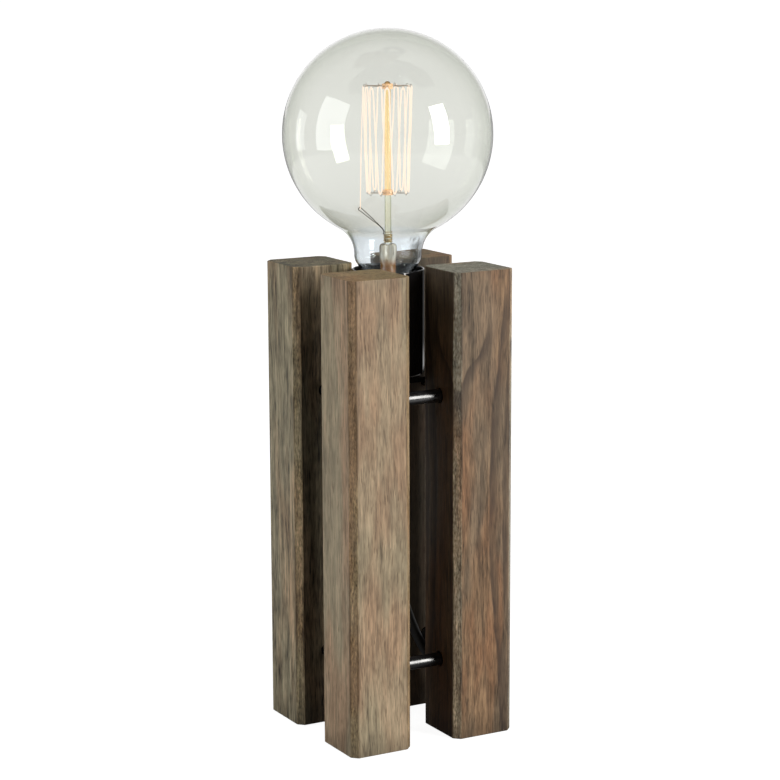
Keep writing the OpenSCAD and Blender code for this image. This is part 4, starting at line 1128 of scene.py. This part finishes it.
# ---------------------------------------------------------------- In-line switch
# Two black moulded shells screwed together round the lead, with a smooth glossy rocker in
# the top one. Their edges are eased as a mould leaves them, and a fine seam runs between them.
def eased(node, width, name):
    """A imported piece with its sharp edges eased, as a mould leaves them."""
    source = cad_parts[node]
    bm = bmesh.new()
    bm.from_mesh(source.data)
    bmesh.ops.transform(bm, matrix=source.matrix_world, verts=bm.verts)
    bmesh.ops.remove_doubles(bm, verts=bm.verts, dist=0.002 * mm)
    bmesh.ops.dissolve_limit(bm, angle_limit=math.radians(0.6), verts=bm.verts, edges=bm.edges)
    return ease_edges(new_piece(name, bm), width, 2, 38, 40, 80)


glossy_moulding = handled_material("glossy_moulding", (0.010, 0.010, 0.011), (0.016, 0.016, 0.017),
                                   (0.2, 0.32), (8, 0.4, 0.01))
for node, name, width, material, body in (
        ("switch_base", "switch_lower_shell", 0.35 * mm, moulded, "root"),
        ("switch_cover", "switch_upper_shell", 0.35 * mm, moulded, "root"),
        ("switch_rocker", "switch_rocker_key", 0.3 * mm, glossy_moulding, "rocker")):
    put_in_place(eased(node, width, name), material, body, "black_plastic", node)
finish_nodes(zinc, "steel", "rocker_pin", "switch_screws")
finish_nodes(brass, "brass", "switch_contacts")
finish_nodes(sheath, "rubber", "switch_leads")
line_length(lamp_line)


# ---------------------------------------------------------------- Plug
# A flat two-pin plug moulded on to the lead: rounded body, ribs to pull it by, a ribbed
# sleeve against strain, and nickel plated pins with black sleeves over their roots.
def oval_ring(y, wide, high, squareness):
    """One section across the plug, from round to nearly square."""
    ring = []
    for a in full_turn(72):
        x = math.copysign(abs(math.cos(a)) ** (2 / squareness), math.cos(a))
        z = math.copysign(abs(math.sin(a)) ** (2 / squareness), math.sin(a))
        ring.append((wide * x, y, plug_height + high * z))
    return ring


nickel = handled_material("nickel_plate", (0.68, 0.66, 0.6), (0.55, 0.53, 0.48), (0.15, 0.3),
                          (4, 0.3, 0.01), metallic=1.0)
plug_low, plug_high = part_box("plug_body")
plug_half = (plug_high.x - plug_low.x) / 2
plug_thick = (plug_high.z - plug_low.z) / 2
plug_height = (plug_high.z + plug_low.z) / 2
plug_start = plug_low.y
tail_length = (plug_high.y - plug_low.y) / mm
ribs = 6

# Sections: how far along in mm, the shares of the half width and half thickness, and the squareness
plug_sections = [(0, 0.90, 0.78, 5), (0.35, 0.965, 0.91, 5), (1.1, 1.0, 0.985, 5), (2, 1.0, 1.0, 5),
                 (18.5, 1.0, 1.0, 5), (19.8, 0.985, 1.0, 5)]
for rib in range(ribs):
    start = 20.6 + 2.4 * rib
    narrow = 0.975 - 0.115 * rib
    for step, swell in ((0, 1.0), (0.5, 0.955), (1.2, 0.955), (1.7, 1.0)):
        plug_sections.append((start + step, (narrow - 0.048 * step) * (1 + swell) / 2,
                              (0.99 - 0.022 * rib) * swell, 4.8 - 0.45 * rib))
sleeve_sections = []
for rib in range(ribs):
    start = 36.6 + 2.1 * rib
    out = 5.3 - 0.2 * rib
    for step, groove_depth in ((0, 0.0), (1.0, 0.0), (1.25, 0.75), (1.85, 0.75)):
        sleeve_sections.append((start + step, out - groove_depth))
sleeve_sections += [(tail_length - 2.4, 4.0), (tail_length - 0.3, 3.9), (tail_length, 3.6)]
plug_sections += [(along, radius * mm / plug_half, radius * mm / plug_thick, 2)
                  for along, radius in sleeve_sections]
plug = from_rings("plug_moulding", [
    oval_ring(plug_start + along * mm, wide * plug_half, high * plug_thick, squareness)
    for along, wide, high, squareness in plug_sections])
smooth_faces(plug, 35)
put_in_place(plug, moulded, "root", "black_plastic", "plug_body")

pin_low, pin_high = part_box("plug_pins")
pin_radius = (pin_high.z - pin_low.z) / 2
pin_spread = (pin_high.x - pin_low.x) / 2 - pin_radius
sleeve_end = plug_start - 10 * mm
nose = [(pin_low.y + pin_radius - pin_radius * math.cos(a), pin_radius * math.sin(a))
        for a in (math.radians(12 + 78 * i / 8) for i in range(9))]
pin_profile = nose + [(sleeve_end, pin_radius), (sleeve_end + 0.2 * mm, pin_radius - 0.5 * mm),
                      (plug_start + 7 * mm, pin_radius - 0.5 * mm)]
sleeve_profile = [(sleeve_end + 0.05 * mm, pin_radius - 0.3 * mm), (sleeve_end + 0.4 * mm, pin_radius),
                  (plug_start - 0.4 * mm, pin_radius), (plug_start + 0.5 * mm, pin_radius)]
for name, profile, material, slot, nodes in (
        ("plug_pin_pair", pin_profile, nickel, "plug_pin", ["plug_pins"]),
        ("plug_pin_sleeves", sleeve_profile, moulded, "black_plastic", [])):
    two_pins = bmesh.new()
    for x in (-pin_spread, pin_spread):
        add_rings(two_pins, [[(x + radius * math.cos(a), y, plug_height + radius * math.sin(a))
                              for a in full_turn(32)] for y, radius in profile])
    pins = new_piece(name, two_pins)
    smooth_faces(pins, 40)
    put_in_place(pins, material, "root", slot, *nodes)


# ---------------------------------------------------------------- Coil strap
# A woven hook-and-loop strap, 8 mm wide, wrapped round one side of the coil, its loose
# end lapped over its beginning on the outside.
strap_cloth, strap_shader = new_material("strap_cloth", (0.016, 0.016, 0.018), 0.85, specular=0.25)
strap_place = place_on(strap_cloth.node_tree)
warp = from_node(strap_cloth.node_tree, "ShaderNodeTexWave", {
    "Vector": strap_place, "Scale": 620.0, "Distortion": 0.6}, "Fac", bands_direction="X")
weave = warp * 0.6 + noise(strap_place, (2600, 2600, 2600))
join(mix_colours(ramp(weave, 0.4, 1.3), (0.008, 0.008, 0.009), (0.03, 0.03, 0.033)),
     strap_shader.inputs["Base Color"])
raise_grain(strap_shader, weave, 0.12 * mm, 0.7)
strap_low, strap_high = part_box("coil_strap")
strap_mid = (strap_low + strap_high) / 2
strap_half = (strap_high.x - strap_low.x) / 2
strap_thick = 0.9 * mm
bend = 3.6 * mm
reach_y = (strap_high.y - strap_low.y) / 2 - strap_thick / 2 - bend
reach_z = (strap_high.z - strap_low.z) / 2 - strap_thick / 2 - bend
wrap = []
for y, z, start in ((reach_y, -reach_z, -90), (reach_y, reach_z, 0),
                    (-reach_y, reach_z, 90), (-reach_y, -reach_z, 180)):
    wrap += [Vector((0, *at)) for at in arc((y, z), bend, start, start + 90, 8)]
lap_start = 17
strap_path = wrap[lap_start:] + wrap[:lap_start]
strap_path += [strap_path[0] + Vector((0, y * mm, z * mm))
               for y, z in ((0.3, 0.55), (-1.6, 0.95), (-5.5, 0.9), (-8.0, 1.15))]
strap_rings = []
for before, at, after in zip(strap_path[:1] + strap_path, strap_path, strap_path[1:] + strap_path[-1:]):
    along = (after - before).normalized()
    outward = Vector((0, along.z, -along.y))
    strap_rings.append([
        strap_mid + at + Vector((x * strap_half, 0, 0)) + outward * out * strap_thick / 2
        for x, out in ((-1, -0.6), (-0.97, -1), (0.97, -1), (1, -0.6),
                       (1, 0.6), (0.97, 1), (-0.97, 1), (-1, 0.6))])
strap = from_rings("coil_strap_cloth", strap_rings)
smooth_faces(strap, 50)
put_in_place(strap, strap_cloth, "root", "strap", "coil_strap")
line_length(mains_line)


# ---------------------------------------------------------------- Studio
# A white room: a white floor that carries the faint shadow, white paper behind, a dim
# ceiling light, a strong soft box front right, a weaker one on the left and a strip at the back.
def by_ray(tree, seen, glossy, through, other):
    """A level that differs between what the camera sees, what gloss mirrors, what shows through
    glass, and what lights the rest."""
    path = signals(add_node(tree, "ShaderNodeLightPath"))
    level = other
    for ray, value in (("Is Glossy Ray", glossy), ("Is Transmission Ray", through), ("Is Camera Ray", seen)):
        level = mix_levels(path[ray], level, value)
    return level


behind = -Vector((towards_camera.x, towards_camera.y, 0)).normalized()
world = bpy.data.worlds.new("studio")
scene.world = world
world.use_nodes = True
sky_way = from_node(world.node_tree, "ShaderNodeTexCoord", output="Generated")
sky_behind = vector_maths("DOT_PRODUCT", sky_way, behind)
sky_view = vector_maths("DOT_PRODUCT", sky_way, -towards_camera)
sky_up = parts(sky_way)[2]
room_light = ramp(sky_up, 0.5, 0.9, 0.0, 0.32) + ramp(sky_behind, 0.6, 0.95, 0.015, 0.7)
room_mirrored = ramp(sky_behind, 0.2, 0.6, 0.02, 0.27) + ramp(sky_behind, 0.85, 0.97, 0.0, 0.73)
through_glass = ramp(sky_view, 0.82, 0.94, 0.78, 1.0) * ramp(sky_up, 0.3, 0.8, 1.0, 0.35)
background = world.node_tree.nodes["Background"]
join((1, 1, 1), background.inputs["Color"])
join(by_ray(world.node_tree, 1.0, room_mirrored, through_glass, room_light), background.inputs["Strength"])

floor_half = 45.0
floor_z = -0.3 * mm
box_distance = 1.6
floor_mesh = bmesh.new()
bmesh.ops.create_grid(floor_mesh, x_segments=1, y_segments=1, size=floor_half,
                      matrix=Matrix.Translation((0, 0, floor_z)))
floor = new_piece("floor", floor_mesh)
white_floor, _ = new_material("white_floor", (0.8, 0.8, 0.8), 0.9, specular=0.0)
floor_tree = white_floor.node_tree
floor_far = vector_maths("LENGTH", from_node(floor_tree, "ShaderNodeNewGeometry", output="Position"))
# Painted shade: the floor is a little darker round the lamp as the camera sees it, and what it gives to
# mirror images is darker near the lamp and falls off again beyond about 1.2 m
floor_seen_with_painted_shade = ramp(floor_far, 0.25, 0.9, 0.93, 1.0)
floor_mirrored_with_painted_shade = ramp(floor_far, 0.1, 0.5, 0.1, 0.85) * ramp(floor_far, 1.2, 1.42, 1.0, 0.15)
paper = from_node(floor_tree, "ShaderNodeEmission", {
    "Color": (1, 1, 1), "Strength": by_ray(floor_tree, floor_seen_with_painted_shade, floor_mirrored_with_painted_shade, 0.93, 0.0)})
floor_white = by_ray(floor_tree, 0.35, 0.05, 0.1, 0.15)
lit = from_node(floor_tree, "ShaderNodeBsdfDiffuse", {"Color": floor_white})
both = from_node(floor_tree, "ShaderNodeAddShader", {0: paper, 1: lit})
join(both, floor_tree.nodes["Material Output"].inputs["Surface"])
set_material(floor, white_floor)


def soft_box(name, azimuth, elevation, width, height, radiance, colour):
    """A rectangle of glowing cloth that faces the lamp. It is looked past where it would be seen
    directly or straight through the glass, so that only its light and its mirror images show."""
    way = way_to(azimuth, elevation)
    middle = Vector((0, 0, globe_z)) + way * box_distance
    side = around(azimuth) * width / 2
    up = way.cross(side).normalized() * height / 2
    cloth = bpy.data.meshes.new(name)
    cloth.from_pydata([middle - side - up, middle + side - up, middle + side + up, middle - side + up],
                      [], [(0, 1, 2, 3)])
    cloth.update()
    if cloth.polygons[0].normal.dot(way) > 0:
        cloth.flip_normals()
    box = bpy.data.objects.new(name, cloth)
    scene.collection.objects.link(box)
    lit_cloth, _ = new_material(name, colour, 1.0)
    tree = lit_cloth.node_tree
    path = signals(add_node(tree, "ShaderNodeLightPath"))
    past = path["Is Transmission Ray"] * (1.0 - maths("MINIMUM", path["Glossy Depth"], 1.0))
    for other in (path["Is Camera Ray"], path["Is Shadow Ray"],
                  from_node(tree, "ShaderNodeNewGeometry", output="Backfacing")):
        past = maths("MAXIMUM", past, other)
    light = from_node(tree, "ShaderNodeEmission", {"Color": colour, "Strength": radiance})
    clear = from_node(tree, "ShaderNodeBsdfTransparent")
    glowing = from_node(tree, "ShaderNodeAddShader", {0: light, 1: clear})
    mixed = from_node(tree, "ShaderNodeMixShader", {0: past, 1: glowing, 2: clear})
    join(mixed, tree.nodes["Material Output"].inputs["Surface"])
    set_material(box, lit_cloth)


soft_box("right_soft_box", 31, 11.2, 0.52, 1.058, 13.5, (1.0, 0.985, 0.95))
soft_box("left_soft_box", -94.5, 9.7, 1.01, 1.445, 2.6, (0.96, 0.99, 1.0))
soft_box("back_left_strip", -138, 1, 0.45, 0.68, 1.1, (0.96, 0.99, 1.0))
